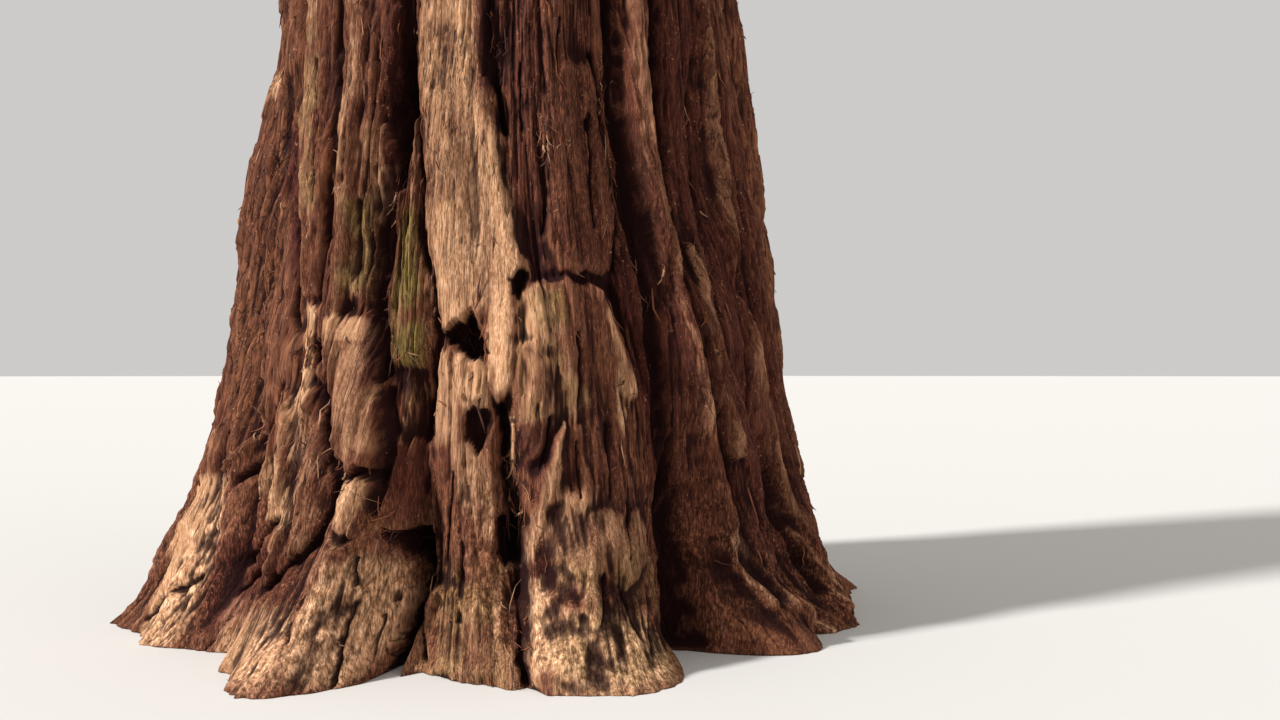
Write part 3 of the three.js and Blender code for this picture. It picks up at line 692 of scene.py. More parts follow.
def columnPlaces(start, end, count):
    # azimuths that lie evenly along the outline of the foot, a little above the ground
    fine, above = np.linspace(start, end, 4000), 0.45
    radius = trunkRadius(fine, np.full_like(fine, above))
    x, y = radius * np.cos(np.radians(fine)), radius * np.sin(np.radians(fine))
    length = np.concatenate(([0], np.cumsum(np.hypot(np.diff(x), np.diff(y)))))
    return np.interp(np.linspace(0, length[-1], count), length, fine)


def rowPlaces(start, end, count, spread=1.0):
    return start + (end - start) * np.linspace(0, 1, count) ** spread


def makeMesh(name, points, faces):
    mesh = bpy.data.meshes.new(name)
    mesh.vertices.add(len(points))
    mesh.vertices.foreach_set("co", points.astype(np.float32).ravel())
    sizes = np.array([len(group[0]) for group in faces for _ in range(len(group))])
    corners = np.concatenate([np.asarray(group).ravel() for group in faces])
    mesh.loops.add(len(corners))
    mesh.loops.foreach_set("vertex_index", corners)
    mesh.polygons.add(len(sizes))
    mesh.polygons.foreach_set("loop_start", np.concatenate(([0], np.cumsum(sizes)[:-1])))
    mesh.update(calc_edges=True)
    mesh.validate()
    piece = bpy.data.objects.new(name, mesh)
    bpy.context.collection.objects.link(piece)
    return piece


# Windows for comparing a point with the bark around it: half height, half width and scale in real metres
windows = ((0.5, 0.2, 0.22), (0.24, 0.085, 0.16), (0.07, 0.018, 0.04))


def hollowness(relief, rowStep, columnStep):
    # how far each point lies below the bark around it
    hollow = 0.5
    for tall, wide, scale in windows:
        level = smoothed(relief, round(tall / rowStep), max(round(wide / columnStep), 1))
        hollow = hollow + (level - relief) / scale
    return np.clip(hollow, 0, 1)


def hollowBark(relief, azimuths, height):
    rowStep = (height[-1, 0] - height[0, 0]) / len(height)
    arc = math.radians(azimuths[-1] - azimuths[0]) * float(trunkRadius(azimuths, height[:1, 0]).mean())
    columnStep = arc / len(azimuths)
    hollow = hollowness(relief, rowStep, columnStep)
    # near a joint only the columns count, which lie alike in both pieces
    nearJoint = 1 - rise(0, jointHeight, np.minimum(np.abs(height - footTop), np.abs(height - stemJoint)))
    return hollow + nearJoint * (hollowness(relief, np.inf, columnStep) - hollow)


# The layout for baking: margins under and beside the bark, and the strips in them for the hidden faces
margins = {"under": 0.03, "beside": 0.02, "sideStrip": 0.015, "topStart": 0.012, "endStrip": 0.008}


def bakeLayout(heights, columns, whole):
    # the bark fills the map in rows, and the hidden ends and sides take thin strips along its edges
    tall = margins["under"] + (1 - margins["under"]) * (heights - heights[0]) / (heights[-1] - heights[0])
    if whole:
        edges = np.linspace(0, 1, columns + 1)
        left, right = edges[:-1], edges[1:]
    else:
        edges = np.linspace(margins["beside"], 1 - margins["beside"], columns)
        left = np.concatenate(([0], edges[:-1], [1 - margins["sideStrip"]]))
        right = np.concatenate(([margins["sideStrip"]], edges[1:], [1]))
    rows = []
    for low, high in zip(tall[:-1], tall[1:]):
        levels = np.repeat((low, low, high, high), len(left)).reshape(4, -1)
        rows.append(np.stack(((left, right, right, left), levels)))
    corners = [np.stack(rows).transpose(0, 3, 2, 1).reshape(-1, 2)]
    edges = np.linspace(0, 1, (columns if whole else columns - 1) + 1)
    first, second = edges[:-1], edges[1:]
    for low, one, other in ((0.0, second, first), (margins["topStart"], first, second)):
        across = np.stack(((first + second) / 2, one, other), axis=-1)
        high = low + margins["endStrip"]
        levels = np.broadcast_to((low, high, high), across.shape)
        corners.append(np.stack((across, levels), axis=-1).reshape(-1, 2))
    return np.concatenate(corners).astype(np.float32)


def modelPoints(azimuth, height, radius):
    # points of the model by azimuth, real height and real distance from the trunk's leaning axis
    turn = np.radians(azimuth)
    across = trunk["lean"] * height + radius * np.cos(turn)
    return np.stack((across, radius * np.sin(turn), height), axis=-1) * half


def giveValues(piece, label, values):
    piece.data.attributes.new(label, "FLOAT", "POINT").data.foreach_set("value", values)


def giveMap(piece, name, places):
    piece.data.uv_layers.new(name=name).uv.foreach_set("vector", places.ravel())


def atCorners(piece, values):
    # what the faces' corners take from the values at the vertices
    corners = np.empty(len(piece.data.loops), np.int32)
    piece.data.loops.foreach_get("vertex_index", corners)
    return values[corners]


def barkFaces(rows, columns, whole):
    # the wall in rows, then the fans under and over it; a wedge has a point on the axis for each row
    index = np.arange(rows * columns).reshape(rows, columns)
    core = rows * columns + np.arange(2 if whole else rows)
    rim = np.concatenate((index, index[:, :1]), axis=1) if whole else index
    loop = rim if whole else np.concatenate((core[:, None], index, core[:, None]), axis=1)
    quads = np.stack((loop[:-1, :-1], loop[:-1, 1:], loop[1:, 1:], loop[1:, :-1]), axis=-1).reshape(-1, 4)
    fans = ((core[0], rim[0, 1:], rim[0, :-1]), (core[-1], rim[-1, :-1], rim[-1, 1:]))
    return quads, np.vstack([np.stack(np.broadcast_arrays(*fan), axis=-1) for fan in fans])


def barkPiece(name, azimuths, heights, above, material):
    # a wedge of the trunk from its axis to its bark, or the whole round where the azimuths close the turn
    azimuth, height = np.meshgrid(azimuths, heights)
    joining = rise(heights[-1] - jointHeight, heights[-1], heights) if above is not None else 0 * heights
    if above is not None:
        # towards its top it takes the columns and the form of the coarser piece above, so that the two meet
        shared = above[(above > azimuths[0] + 0.1) & (above < azimuths[-1] - 0.1)]
        moved = azimuths.copy()
        moved[1 + np.abs(azimuths[1:-1, None] - shared).argmin(axis=0)] = shared
        azimuth += joining[:, None] * (moved - azimuths)
    relief, across, marks = barkShape(azimuth, height)
    top = np.flatnonzero(joining)
    if len(top):
        coarse = barkShape(*np.meshgrid(above, heights[top]))[0]
        for row, values in zip(top, coarse):
            relief[row] += joining[row] * (np.interp(azimuth[row], above, values) - relief[row])
    outer = modelPoints(azimuth, height, trunkRadius(azimuth, height) + relief)
    whole = azimuths[-1] - azimuths[0] > 359.9
    rows, columns = azimuth.shape
    if whole:
        outer = outer[:, :-1]
        columns -= 1
    core = heights[[0, -1]] if whole else heights
    points = np.concatenate((outer.reshape(-1, 3), modelPoints(0 * core, core, 0 * core)))
    quads, triangles = barkFaces(rows, columns, whole)
    piece = makeMesh(name, points, (quads, triangles))
    # the painted shade of deep clefts and holes joins the hollow value, which paints shade in the material
    hollow = np.maximum(hollowBark(relief, azimuths, height), 0.95 * marks.pop("carved"))
    for label, values in (("hollow", hollow), *marks.items()):
        spread = np.zeros(len(points), np.float32)
        spread[: rows * columns] = values[:, :columns].ravel()
        giveValues(piece, label, spread)
    runs = np.zeros((len(points), 2), np.float32)
    run = across * 2 * np.pi * meanRadius["run"] * half
    runs[: rows * columns, 0] = run[:, :columns].ravel()
    runs[: rows * columns, 1] = (height[:, :columns] * half).ravel()
    places = atCorners(piece, runs)
    if whole:
        # the last face of each row runs on to the end of the turn
        closing = 4 * (np.arange(rows - 1) * columns + columns - 1)
        places[closing + 1, 0], places[closing + 2, 0] = run[:-1, -1], run[1:, -1]
    giveMap(piece, "grain", places)
    giveMap(piece, "OFBake", bakeLayout(heights, columns, whole))
    # only the bark itself is shaded smooth
    smooth = np.ones((rows - 1, len(quads) // (rows - 1)), bool)
    if not whole:
        smooth[:, (0, -1)] = False
    smooth = np.concatenate((smooth.ravel(), np.zeros(len(triangles), bool)))
    piece.data.polygons.foreach_set("use_smooth", smooth)
    piece.data.materials.append(material)
    return piece


def barkMaterial():
    material = bpy.data.materials.new("bark")
    material.use_nodes = True
    tree = material.node_tree
    nodes = tree.nodes
    nodes.clear()
    out = nodes.new("ShaderNodeOutputMaterial")
    shader = nodes.new("ShaderNodeBsdfPrincipled")
    shader.inputs["Roughness"].default_value = 0.92
    shader.inputs["Specular IOR Level"].default_value = 0.12
    tree.links.new(shader.outputs[0], out.inputs[0])
    runs = nodes.new("ShaderNodeUVMap")
    runs.uv_map = "grain"
    solid = nodes.new("ShaderNodeTexCoord")

    def feed(place, value):
        # a colour or a number as it is, or what another node gives
        if isinstance(value, tuple):
            place.default_value = (*value, 1)
        elif isinstance(value, (float, int)):
            place.default_value = value
        else:
            tree.links.new(value, place)

    def fibres(scale, stretch, detail, seed, along=True):
        # noise drawn out along the grain, or up and down through the solid wood
        placed = nodes.new("ShaderNodeMapping")
        drawn = scale / stretch
        placed.inputs["Scale"].default_value = (scale, drawn, 1) if along else (scale, scale, drawn)
        placed.inputs["Location"].default_value = (seed, seed * 2.3, seed)
        feed(placed.inputs["Vector"], runs.outputs["UV"] if along else solid.outputs["Object"])
        noise = nodes.new("ShaderNodeTexNoise")
        feed(noise.inputs["Vector"], placed.outputs[0])
        for label, value in (("Scale", 1), ("Detail", detail), ("Roughness", 0.6)):
            feed(noise.inputs[label], value)
        return noise.outputs["Fac"]

    def marked(name):
        attribute = nodes.new("ShaderNodeAttribute")
        attribute.attribute_name = name
        return attribute.outputs["Fac"]

    def ramp(source, *stops):
        # each stop is a place and a colour, or a place and how strong a mask is there
        made = nodes.new("ShaderNodeValToRGB")
        elements = made.color_ramp.elements
        while len(elements) < len(stops):
            elements.new(0.5)
        for element, (place, shade) in zip(elements, stops):
            element.position = place
            element.color = (*(shade if isinstance(shade, tuple) else (shade,) * 3), 1)
        feed(made.inputs[0], source)
        return made.outputs[0]

    def mix(amount, first, second, mode="MIX"):
        made = nodes.new("ShaderNodeMix")
        made.data_type = "RGBA"
        made.blend_type = mode
        inputs = {s.identifier: s for s in made.inputs}
        for key, value in (("Factor_Float", amount), ("A_Color", first), ("B_Color", second)):
            feed(inputs[key], value)
        return {s.identifier: s for s in made.outputs}["Result_Color"]

    def number(operation, *values):
        made = nodes.new("ShaderNodeMath")
        made.operation = operation
        for place, value in zip(made.inputs, values):
            feed(place, value)
        return made.outputs[0]

    def plus(first, second):
        return number("ADD", first, second)

    def times(first, second):
        return number("MULTIPLY", first, second)

    def fromMiddle(pattern):
        return number("ABSOLUTE", plus(pattern, -0.5))

    # scale, how far drawn out, detail and seed of each pattern
    broad = fibres(5, 4, 3, 1)
    zones = fibres(2.2, 2.4, 2, 6)
    strands = fibres(44, 13, 6, 2)
    longFine = fibres(150, 13, 5, 3)
    shortFine = fibres(215, 6, 4, 9, along=False)
    seams = fromMiddle(fibres(24, 14, 3, 7))
    splits = fromMiddle(fibres(62, 8, 3, 17))
    blotches = fibres(11, 1.6, 5, 4, along=False)
    specks = fibres(100, 1, 3, 5, along=False)
    crumbly = fibres(75, 1.8, 7, 8, along=False)
    fine = mix(marked("calm"), longFine, shortFine)
    hollow, pale, crust = marked("hollow"), marked("pale"), marked("crust")
    nearBlack, darkCrease = (0.014, 0.003, 0.003), (0.018, 0.004, 0.003)

    # red-brown and tan bark, paler where it stands out: partly the outer bark's own tan, partly painted
    # light on the raised parts
    tone = ramp(broad, (0.32, (0.050, 0.009, 0.006)), (0.5, (0.072, 0.018, 0.011)),
                (0.66, (0.125, 0.042, 0.024)))
    tone = mix(ramp(zones, (0.42, 0), (0.6, 0.6)), tone, (0.125, 0.056, 0.025))
    tanAndPaintedLight = ramp(broad, (0.35, (0.115, 0.042, 0.024)), (0.6, (0.26, 0.120, 0.068)))
    tone = mix(ramp(hollow, (0.1, 0.9), (0.45, 0)), tone, tanAndPaintedLight)
    # fibres
    coarse = ramp(strands, (0.38, darkCrease), (0.5, (0.09, 0.026, 0.014)),
                  (0.62, (0.27, 0.105, 0.048)))
    tone = mix(0.45, tone, coarse)
    thin = ramp(fine, (0.38, (0.015, 0.004, 0.003)), (0.5, (0.10, 0.030, 0.016)),
                (0.62, (0.38, 0.150, 0.070)))
    tone = mix(0.42, tone, thin)
    # pale patches, which end in streaks along the grain: partly weathered bark, partly painted sunlight
    ragged = plus(plus(plus(times(strands, 1.5), blotches), -1.25), pale)
    paleness = times(ramp(ragged, (0.20, 0), (0.85, 1)), ramp(pale, (0, 0), (0.25, 1)))
    weatheredAndPaintedSun = ramp(fine, (0.34, (0.33, 0.152, 0.070)), (0.5, (0.48, 0.252, 0.130)),
                     (0.66, (0.66, 0.41, 0.25)))
    tone = mix(paleness, tone, weatheredAndPaintedSun)
    # moss, crust, patches of painted shade and pale flecks
    mossy = ramp(fine, (0.38, (0.055, 0.038, 0.010)), (0.62, (0.24, 0.172, 0.047)))
    tone = mix(times(marked("moss"), ramp(blotches, (0.40, 0), (0.56, 0.9))), tone, mossy)
    rubble = ramp(crumbly, (0.38, (0.34, 0.31, 0.30)), (0.48, (1.03, 1.00, 0.99)),
                  (0.55, (1.52, 1.58, 1.65)), (0.65, (2.15, 2.35, 2.6)))
    tone = mix(times(crust, 0.8), tone, mix(1.0, tone, rubble, "MULTIPLY"))
    tone = mix(marked("paintedShade"), tone, mix(1.0, tone, (0.50, 0.34, 0.44), "MULTIPLY"))
    flecks = times(ramp(specks, (0.62, 0), (0.68, 0.7)), ramp(blotches, (0.45, 0), (0.6, 1)))
    tone = mix(flecks, tone, (0.45, 0.23, 0.12))
    # thin dark creases and splits where a pattern crosses its middle value, then painted shade in the
    # hollows
    tone = mix(ramp(seams, (0, 0.6), (0.012, 0)), tone, darkCrease)
    parted = times(ramp(splits, (0, 0.85), (0.022, 0)), ramp(zones, (0.40, 0.25), (0.58, 1)))
    tone = mix(parted, tone, (0.022, 0.006, 0.004))
    tone = mix(ramp(hollow, (0.46, 0), (0.72, 0.78), (1, 0.97)), tone, nearBlack)
    feed(shader.inputs["Base Color"], tone)

    bump = nodes.new("ShaderNodeBump")
    grooves = plus(number("MINIMUM", times(seams, 12), 0.2), times(strands, 0.7))
    threads = plus(plus(times(fine, 0.4), times(crust, times(crumbly, 1.3))), times(parted, -0.35))
    for label, value in (("Strength", 0.7), ("Distance", 0.010), ("Height", plus(grooves, threads))):
        feed(bump.inputs[label], value)
    feed(shader.inputs["Normal"], bump.outputs[0])
    return material


bark = barkMaterial()
pieces = []
lowColumns, highColumns = np.linspace(32, 392, 481), np.linspace(32, 392, 201)
lowRows, highRows = rowPlaces(footTop, stemJoint, 200, 1.3), rowPlaces(stemJoint, trunk["tip"], 150, 1.2)
for name, start, end, columns, rows in (  # azimuths of both ends, numbers of columns and rows
    ("bark_front_left", 172, 261, 345, 276),
    ("bark_front_middle", 261, 308, 200, 460),
    ("bark_front_right", 308, 392, 340, 276),
    ("bark_back", 32, 172, 220, 270),
):
    heights = rowPlaces(0, footTop, rows, 1.1)
    pieces.append(barkPiece(name, columnPlaces(start, end, columns), heights, lowColumns, bark))
pieces.append(barkPiece("bark_stem_low", lowColumns, lowRows, highColumns, bark))
pieces.append(barkPiece("bark_stem_high", highColumns, highRows, None, bark))
for piece in pieces:
    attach(piece, "root")
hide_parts("trunk")
print("bark made:", sum(len(p.data.polygons) for p in pieces), "faces")


# Crown: every mass of the solid becomes limbs, branchlets and flat drooping sprays, in metres of the model
crown = {
    "seed": 7,
    "fewestLimbs": 4.5,         # in a mass, before those for each metre of its reach
    "limbsPerMetre": 0.9,
    "moreHighUp": 2.2,          # further limbs in a mass near the top
    "fan": 62,                  # degrees that the outer limbs of a mass turn aside
    "limbThickness": 0.030,     # radius at the trunk for each metre of reach
    "fromLowToHigh": (16, 36),  # heights between which the limbs turn from drooping to rising
    "lowRise": 0.20,            # how far above its end a low limb leaves the trunk, for each metre outward
    "highRise": -0.50,
    "leafyFrom": 0.16,          # share of a limb where its branchlets begin
    "leafyTo": 0.985,
    "branchletGap": 0.26,
    "branchletAngle": 57,       # at the foot of a limb, and less towards its end
    "lessAngle": 18,
    "longestBranchlet": 1.4,
    "clearance": 0.065,         # from a branchlet's end to the outline of the mass, for each metre of reach
    "twigRadius": 0.008,        # and more for each metre of its length
    "twigThickening": 0.009,
    "sprayGap": 0.145,
    "sprayAngle": 47,
    "sprayDroop": 0.15,
    "sprayLength": 0.23,        # and more for each metre of the mass's reach
    "sprayGrowth": 0.05,
}
# The top: branchlets in a whorl, gap and turn from one whorl to the next, and the sprays on the tip
leader = {
    "whorl": 6, "gap": 0.13, "turn": 0.6, "longest": 1.1,
    "crestSprays": 9, "lastLength": 0.34, "lastBelowTop": 0.405,
}
# Needles of a spray: shares of its length or of a needle's own, and degrees
needle = {
    "pairs": 6,
    "first": 0.10,
    "gap": 0.135,
    "angle": 54,
    "unevenAngle": 7,
    "length": 0.36,
    "longestAt": 0.38,
    "width": 0.25,
    "widestAt": 0.4,
    "cup": 0.15,
    "unevenGreen": 0.75,  # in steps from one of the greens to the next
}
sprayStem = {"radius": 0.0045, "share": 0.93}  # radius in metres, share of the spray's length
crownParts = {
    "lowest": ("lone", "tier1"),
    "low": ("tier2",),
    "lower": ("tier3",),
    "middle": ("tier4",),
    "upper": ("tier5", "tier6"),
    "high": ("tier7", "tier8", "tier9", "top"),
}
up, east = np.array((0.0, 0.0, 1.0)), np.array((1.0, 0.0, 0.0))
flatten = np.array((1.0, 1.0, 0.0))  # times a vector, it takes the height out


def unit(vector):
    return vector / (np.linalg.norm(vector, axis=-1, keepdims=True) + 1e-9)


def stemRadiusAt(z):
    return float(trunkRadius(np.array([0.0]), np.array([z / half]))[0]) * half


def axisAt(z):
    return np.array((trunk["lean"] * z, 0.0, z))


def turnedBy(vector, degrees):
    turn = math.radians(degrees)
    return np.array((vector[0] * math.cos(turn) - vector[1] * math.sin(turn),
                     vector[0] * math.sin(turn) + vector[1] * math.cos(turn), vector[2]))


def massOf(name):
    mesh = bpy.data.objects[name].data
    corners = [v.co.copy() for v in mesh.vertices]
    return np.array(corners), BVHTree.FromPolygons(corners, [list(p.vertices) for p in mesh.polygons])


def roomAhead(tree, point, direction):
    # distance to the outline of the mass, or nothing from a point outside it
    hit, normal, _, distance = tree.ray_cast(Vector(point), Vector(direction))
    if hit is None or normal.dot(Vector(direction)) < 0:
        return 0.0
    return distance


def tubeMesh(path, radii, sides):
    # closed tube along a path; radii are one for each ring, or one for each corner
    tangents = unit(np.gradient(path, axis=0))
    side = unit(np.cross(tangents, np.where(np.abs(tangents[:, 2:]) > 0.95, east, up)))
    over = np.cross(side, tangents)
    angles = np.arange(sides) * 2 * np.pi / sides
    ring = side[:, None] * np.cos(angles)[None, :, None] + over[:, None] * np.sin(angles)[None, :, None]
    radii = np.asarray(radii)
    radii = radii[:, None, None] if radii.ndim == 1 else radii[:, :, None]
    points = (path[:, None] + ring * radii).reshape(-1, 3)
    index = np.arange(len(path) * sides).reshape(len(path), sides)
    turned = np.roll(index, -1, axis=1)
    quads = np.stack((index[:-1], turned[:-1], turned[1:], index[1:]), axis=-1).reshape(-1, 4)
    first, last = index[0], index[-1]
    caps = [(first[0], first[i + 1], first[i]) for i in range(1, sides - 1)]
    caps += [(last[0], last[i], last[i + 1]) for i in range(1, sides - 1)]
    return points, quads, np.array(caps)


limbTubes, twigTubes = [], []
sprays = {part: [] for part in crownParts}


def alongPath(share, shares, path):
    return np.array([np.interp(share, shares, path[:, k]) for k in range(3)])


def addSpray(part, base, direction, length, random, shade):
    # one spray: where it starts, where it points, the way its face looks, its length and its green
    direction = unit(direction)
    face = unit(up - direction * direction[2] + 0.45 * random.normal(size=3))
    face = unit(face - direction * float(face @ direction))
    sprays[part].append((*base, *direction, *face, length, shade))


def growBranchlet(part, tree, start, direction, longest, random, sag, reach, stalk=0.0):
    sprayLength = crown["sprayLength"] + crown["sprayGrowth"] * reach
    length = min(longest, roomAhead(tree, start, direction) - crown["clearance"] * reach)
    if length < 0.1:
        addSpray(part, start, direction + 0.2 * random.normal(size=3), sprayLength * 0.85, random, 1)
        return
    rings = 5
    shares = np.linspace(0, 1, rings)
    path = start + shares[:, None] * length * direction
    path[0] -= direction * stalk
    path[:, 2] -= sag * length * length * shares ** 2 * 0.5
    path[1:] += 0.02 * random.normal(size=(rings - 1, 3))
    thick = crown["twigRadius"] + crown["twigThickening"] * length
    twigTubes.append(tubeMesh(path, thick * (1 - 0.75 * shares), 3))
    side = unit(np.cross(direction, up))
    count = max(2, int(length / crown["sprayGap"] * 2))
    for i in range(count):
        share = (i + 0.7 + 0.4 * random.rand()) / (count + 0.6)
        base = alongPath(share, shares, path)
        turn = math.radians(crown["sprayAngle"] + 8 * random.normal())
        hand = 1 if i % 2 else -1
        towards = direction * math.cos(turn) + hand * side * math.sin(turn)
        towards[2] -= crown["sprayDroop"] + 0.3 * random.rand() + sag * share
        size = sprayLength * (1.05 - 0.3 * share) * (0.85 + 0.3 * random.rand())
        addSpray(part, base, towards, size, random, 2 if share > 0.75 else 1)
    ahead = path[-1] - path[-2]
    ahead[2] -= crown["sprayDroop"] * length
    addSpray(part, path[-1], ahead, sprayLength * 0.8, random, 2)


def growLimb(part, tree, start, end, thickness, random, lift, reach):
    # a limb from the trunk to its end inside the mass, with branchlets on both sides of its leafy part
    rings, sides = 13, 9
    shares = np.linspace(0, 1, rings)
    span = np.linalg.norm(end - start)
    bend = (start + end) / 2 + lift * span * up
    path = ((1 - shares) ** 2)[:, None] * start + (2 * shares * (1 - shares))[:, None] * bend
    path = path + (shares ** 2)[:, None] * end
    sway = np.cumsum(0.018 * random.normal(size=(rings, 3)), axis=0) * shares[:, None]
    path = path + sway * min(span, 2.0) * 0.5
    radii = thickness * (1 - 0.86 * shares) * (1 + 0.55 * np.exp(-shares / 0.05))
    knots = 1 + 0.10 * random.normal(size=(rings, sides))
    limbTubes.append((*tubeMesh(path, radii[:, None] * knots, sides), path))
    longest = min(crown["longestBranchlet"], 0.5 * span)
    gap = crown["branchletGap"] * (0.35 + 0.16 * reach) / span
    share, hand = crown["leafyFrom"], 1
    while share < crown["leafyTo"]:
        base = alongPath(share, shares, path)
        tangent = unit(alongPath(share, shares[1:], np.diff(path, axis=0)))
        side = unit(np.cross(tangent, up))
        turn = math.radians(crown["branchletAngle"] + 9 * random.normal() - crown["lessAngle"] * share)
        towards = tangent * math.cos(turn) + hand * side * math.sin(turn)
        towards = unit(towards + up * (0.22 * random.normal() + 0.02))
        if roomAhead(tree, base, towards) > 0:
            size = longest * (1.1 - 0.45 * share) * (0.8 + 0.4 * random.rand())
            growBranchlet(part, tree, base, towards, size, random, 0.35, reach)
        share += gap * (0.8 + 0.4 * random.rand()) * 0.62
        hand = -hand
    ahead = unit(path[-1] - path[-2])
    growBranchlet(part, tree, path[-1], ahead, 0.5, random, 0.6, reach)


def growMass(part, name, seed):
    random = np.random.RandomState(seed)
    corners, tree = massOf("foliage_" + name)
    low, high = corners.min(axis=0), corners.max(axis=0)
    centre = corners.mean(axis=0)
    outward = (centre - axisAt(centre[2])) * flatten
    outward = outward / np.linalg.norm(outward)
    reach = float(((corners - axisAt(centre[2])) @ outward).max())
    rising = rise(*crown["fromLowToHigh"], centre[2])
    slope = crown["lowRise"] + (crown["highRise"] - crown["lowRise"]) * rising
    bough = massOf("bough_" + name)[0]
    root = bough[np.argsort(bough @ outward)[:8]].mean(axis=0)
    tall = high[2] - low[2]
    count = round(crown["fewestLimbs"] + crown["limbsPerMetre"] * reach + crown["moreHighUp"] * rising)
    for i in range(count):
        # one limb takes the place of the bough, straight outward, and the others fan out beside it
        main = i == count // 3
        z = centre[2] - 0.1 * reach if main else low[2] + tall * (0.08 + 0.84 * (i + 0.5) / count)
        aside = 0.0 if main else crown["fan"] * (2 * ((i + 1) * 0.618 % 1) - 1)
        towards = turnedBy(outward, aside)
        middle = np.array((centre[0], centre[1], z))
        room = roomAhead(tree, middle, towards) - (crown["clearance"] + 0.03) * reach
        end = middle + towards * max(room, 0.1)
        flat = (end - axisAt(end[2])) * flatten
        distance = np.linalg.norm(flat)
        leave = unit(0.55 * flat / distance + 0.45 * outward)
        z = end[2] + slope * distance + 0.08 * random.normal()
        z = float(root[2] if main else np.clip(z, low[2] + 0.1 * tall, high[2] + 0.15 * tall))
        start = axisAt(z) + leave * (stemRadiusAt(z) * 0.9)
        thickness = (crown["limbThickness"] * reach + 0.012) * (1.0 if main else 0.55)
        growLimb(part, tree, start, end, thickness, random, 0.06 + 0.05 * random.rand(), reach)


def growTop(part, seed):
    # whorls of rising branchlets round the leader, and the sprays at the very top
    random = np.random.RandomState(seed)
    corners, tree = massOf("foliage_top")
    tip, whorl, crested = trunk["tip"] * half, leader["whorl"], leader["crestSprays"]
    z, turn = float(corners[:, 2].min()) + 0.25, 0.0
    while z < tip - 0.1:
        for i in range(whorl):
            outward = turnedBy(east, math.degrees(turn) + 360 / whorl * i + 10 * random.normal())
            steep = 0.15 + 0.8 * (z - 36) / 4
            towards = unit(outward + up * (steep + 0.1 * random.normal()))
            start = axisAt(z + 0.05 * random.normal()) + outward * (stemRadiusAt(z) + 0.09)
            growBranchlet(part, tree, start, towards, leader["longest"], random, 0.2, 0.9, stalk=0.12)
        z += leader["gap"]
        turn += leader["turn"]
    crest = axisAt(tip - 0.12)
    for i in range(crested):
        outward = turnedBy(east, 360 / crested * i + 12 * random.normal())
        addSpray(part, crest + 0.01 * i * up, up + outward * (0.25 + 0.06 * i), 0.30, random, 3)
    last = float(corners[:, 2].max()) - leader["lastBelowTop"]
    sprays[part].append((*crest[:2], last, *up, *east, leader["lastLength"], 3))


masses = sorted(name[len("foliage_"):] for name in frame["nodes"] if name.startswith("foliage_"))
for seed, name in enumerate(masses, crown["seed"]):
    part = next(part for part, tiers in crownParts.items() if name.split("_")[0] in tiers)
    if name == "top":
        growTop(part, seed)
    else:
        growMass(part, name, seed)
sprayCount = sum(len(group) for group in sprays.values())
print("crown grown:", len(limbTubes), "limbs,", len(twigTubes), "branchlets,", sprayCount, "sprays")


def joinedMesh(name, tubes):
    points, quads, triangles, count = [], [], [], 0
    for tube in tubes:
        points.append(tube[0])
        quads.append(tube[1] + count)
        triangles.append(tube[2] + count)
        count += len(tube[0])
    return makeMesh(name, np.vstack(points), (np.vstack(quads), np.vstack(triangles)))


def sprayColumns(rows):
    rows = np.array(rows)
    direction, face = rows[:, 3:6], rows[:, 6:9]
    return rows[:, :3], direction, face, np.cross(face, direction), rows[:, 9], rows[:, 10]


def needleMesh(name, rows, paints):
    # every needle is a kite in the plane of its spray: one at the tip, the others in pairs
    base, direction, face, across, length, shade = sprayColumns(rows)
    random = np.random.RandomState(len(rows))
    kites = []
    for pair in range(needle["pairs"] + 1):
        place = needle["first"] + needle["gap"] * pair
        size = needle["length"] * (1 - 0.42 * abs(place - needle["longestAt"]) / (1 - needle["longestAt"]))
        for hand in (-1, 1) if pair < needle["pairs"] else (0,):
            uneven = needle["unevenAngle"] * random.normal(size=len(rows))
            turn = np.radians(needle["angle"] * (1 - 0.25 * place) + uneven)[:, None] * abs(hand)
            towards = direction * np.cos(turn) + hand * across * np.sin(turn)
            towards = unit(towards + face * (needle["cup"] * random.normal(size=len(rows))[:, None]))
            root = base + direction * (place * length)[:, None]
            long = (size * length * (0.88 + 0.24 * random.rand(len(rows))))[:, None]
            wide = np.cross(face, towards) * long * needle["width"] / 2
            widest = root + towards * long * needle["widestAt"]
            kites.append(np.stack((root, widest + wide, root + towards * long, widest - wide), axis=1))
    kites = np.stack(kites, axis=1)
    count = kites.shape[0] * kites.shape[1]
    piece = makeMesh(name, kites.reshape(-1, 3), (np.arange(count * 4).reshape(-1, 4)[:, ::-1],))
    for paint in paints:
        piece.data.materials.append(paint)
    choice = np.round(shade + needle["unevenGreen"] * random.normal(size=len(rows)))
    choice = np.clip(choice, 0, len(paints) - 1).astype(np.int32)
    piece.data.polygons.foreach_set("material_index", np.repeat(choice, kites.shape[1]))
    return piece


def sprayStems(rows):
    # a thin three-sided spike for each spray
    base, direction, face, across, length, _ = sprayColumns(rows)
    points = [base + sprayStem["radius"] * (face * math.cos(turn) + across * math.sin(turn))
              for turn in np.radians((0, 120, 240))]
    points.append(base + direction * (sprayStem["share"] * length)[:, None])
    index = np.arange(len(rows))[:, None] * 4
    sides = ((0, 1, 2), (1, 0, 3), (2, 1, 3), (0, 2, 3))
    triangles = np.concatenate([index + np.array(side) for side in sides])
    return np.stack(points, axis=1).reshape(-1, 3), np.zeros((0, 4), int), triangles


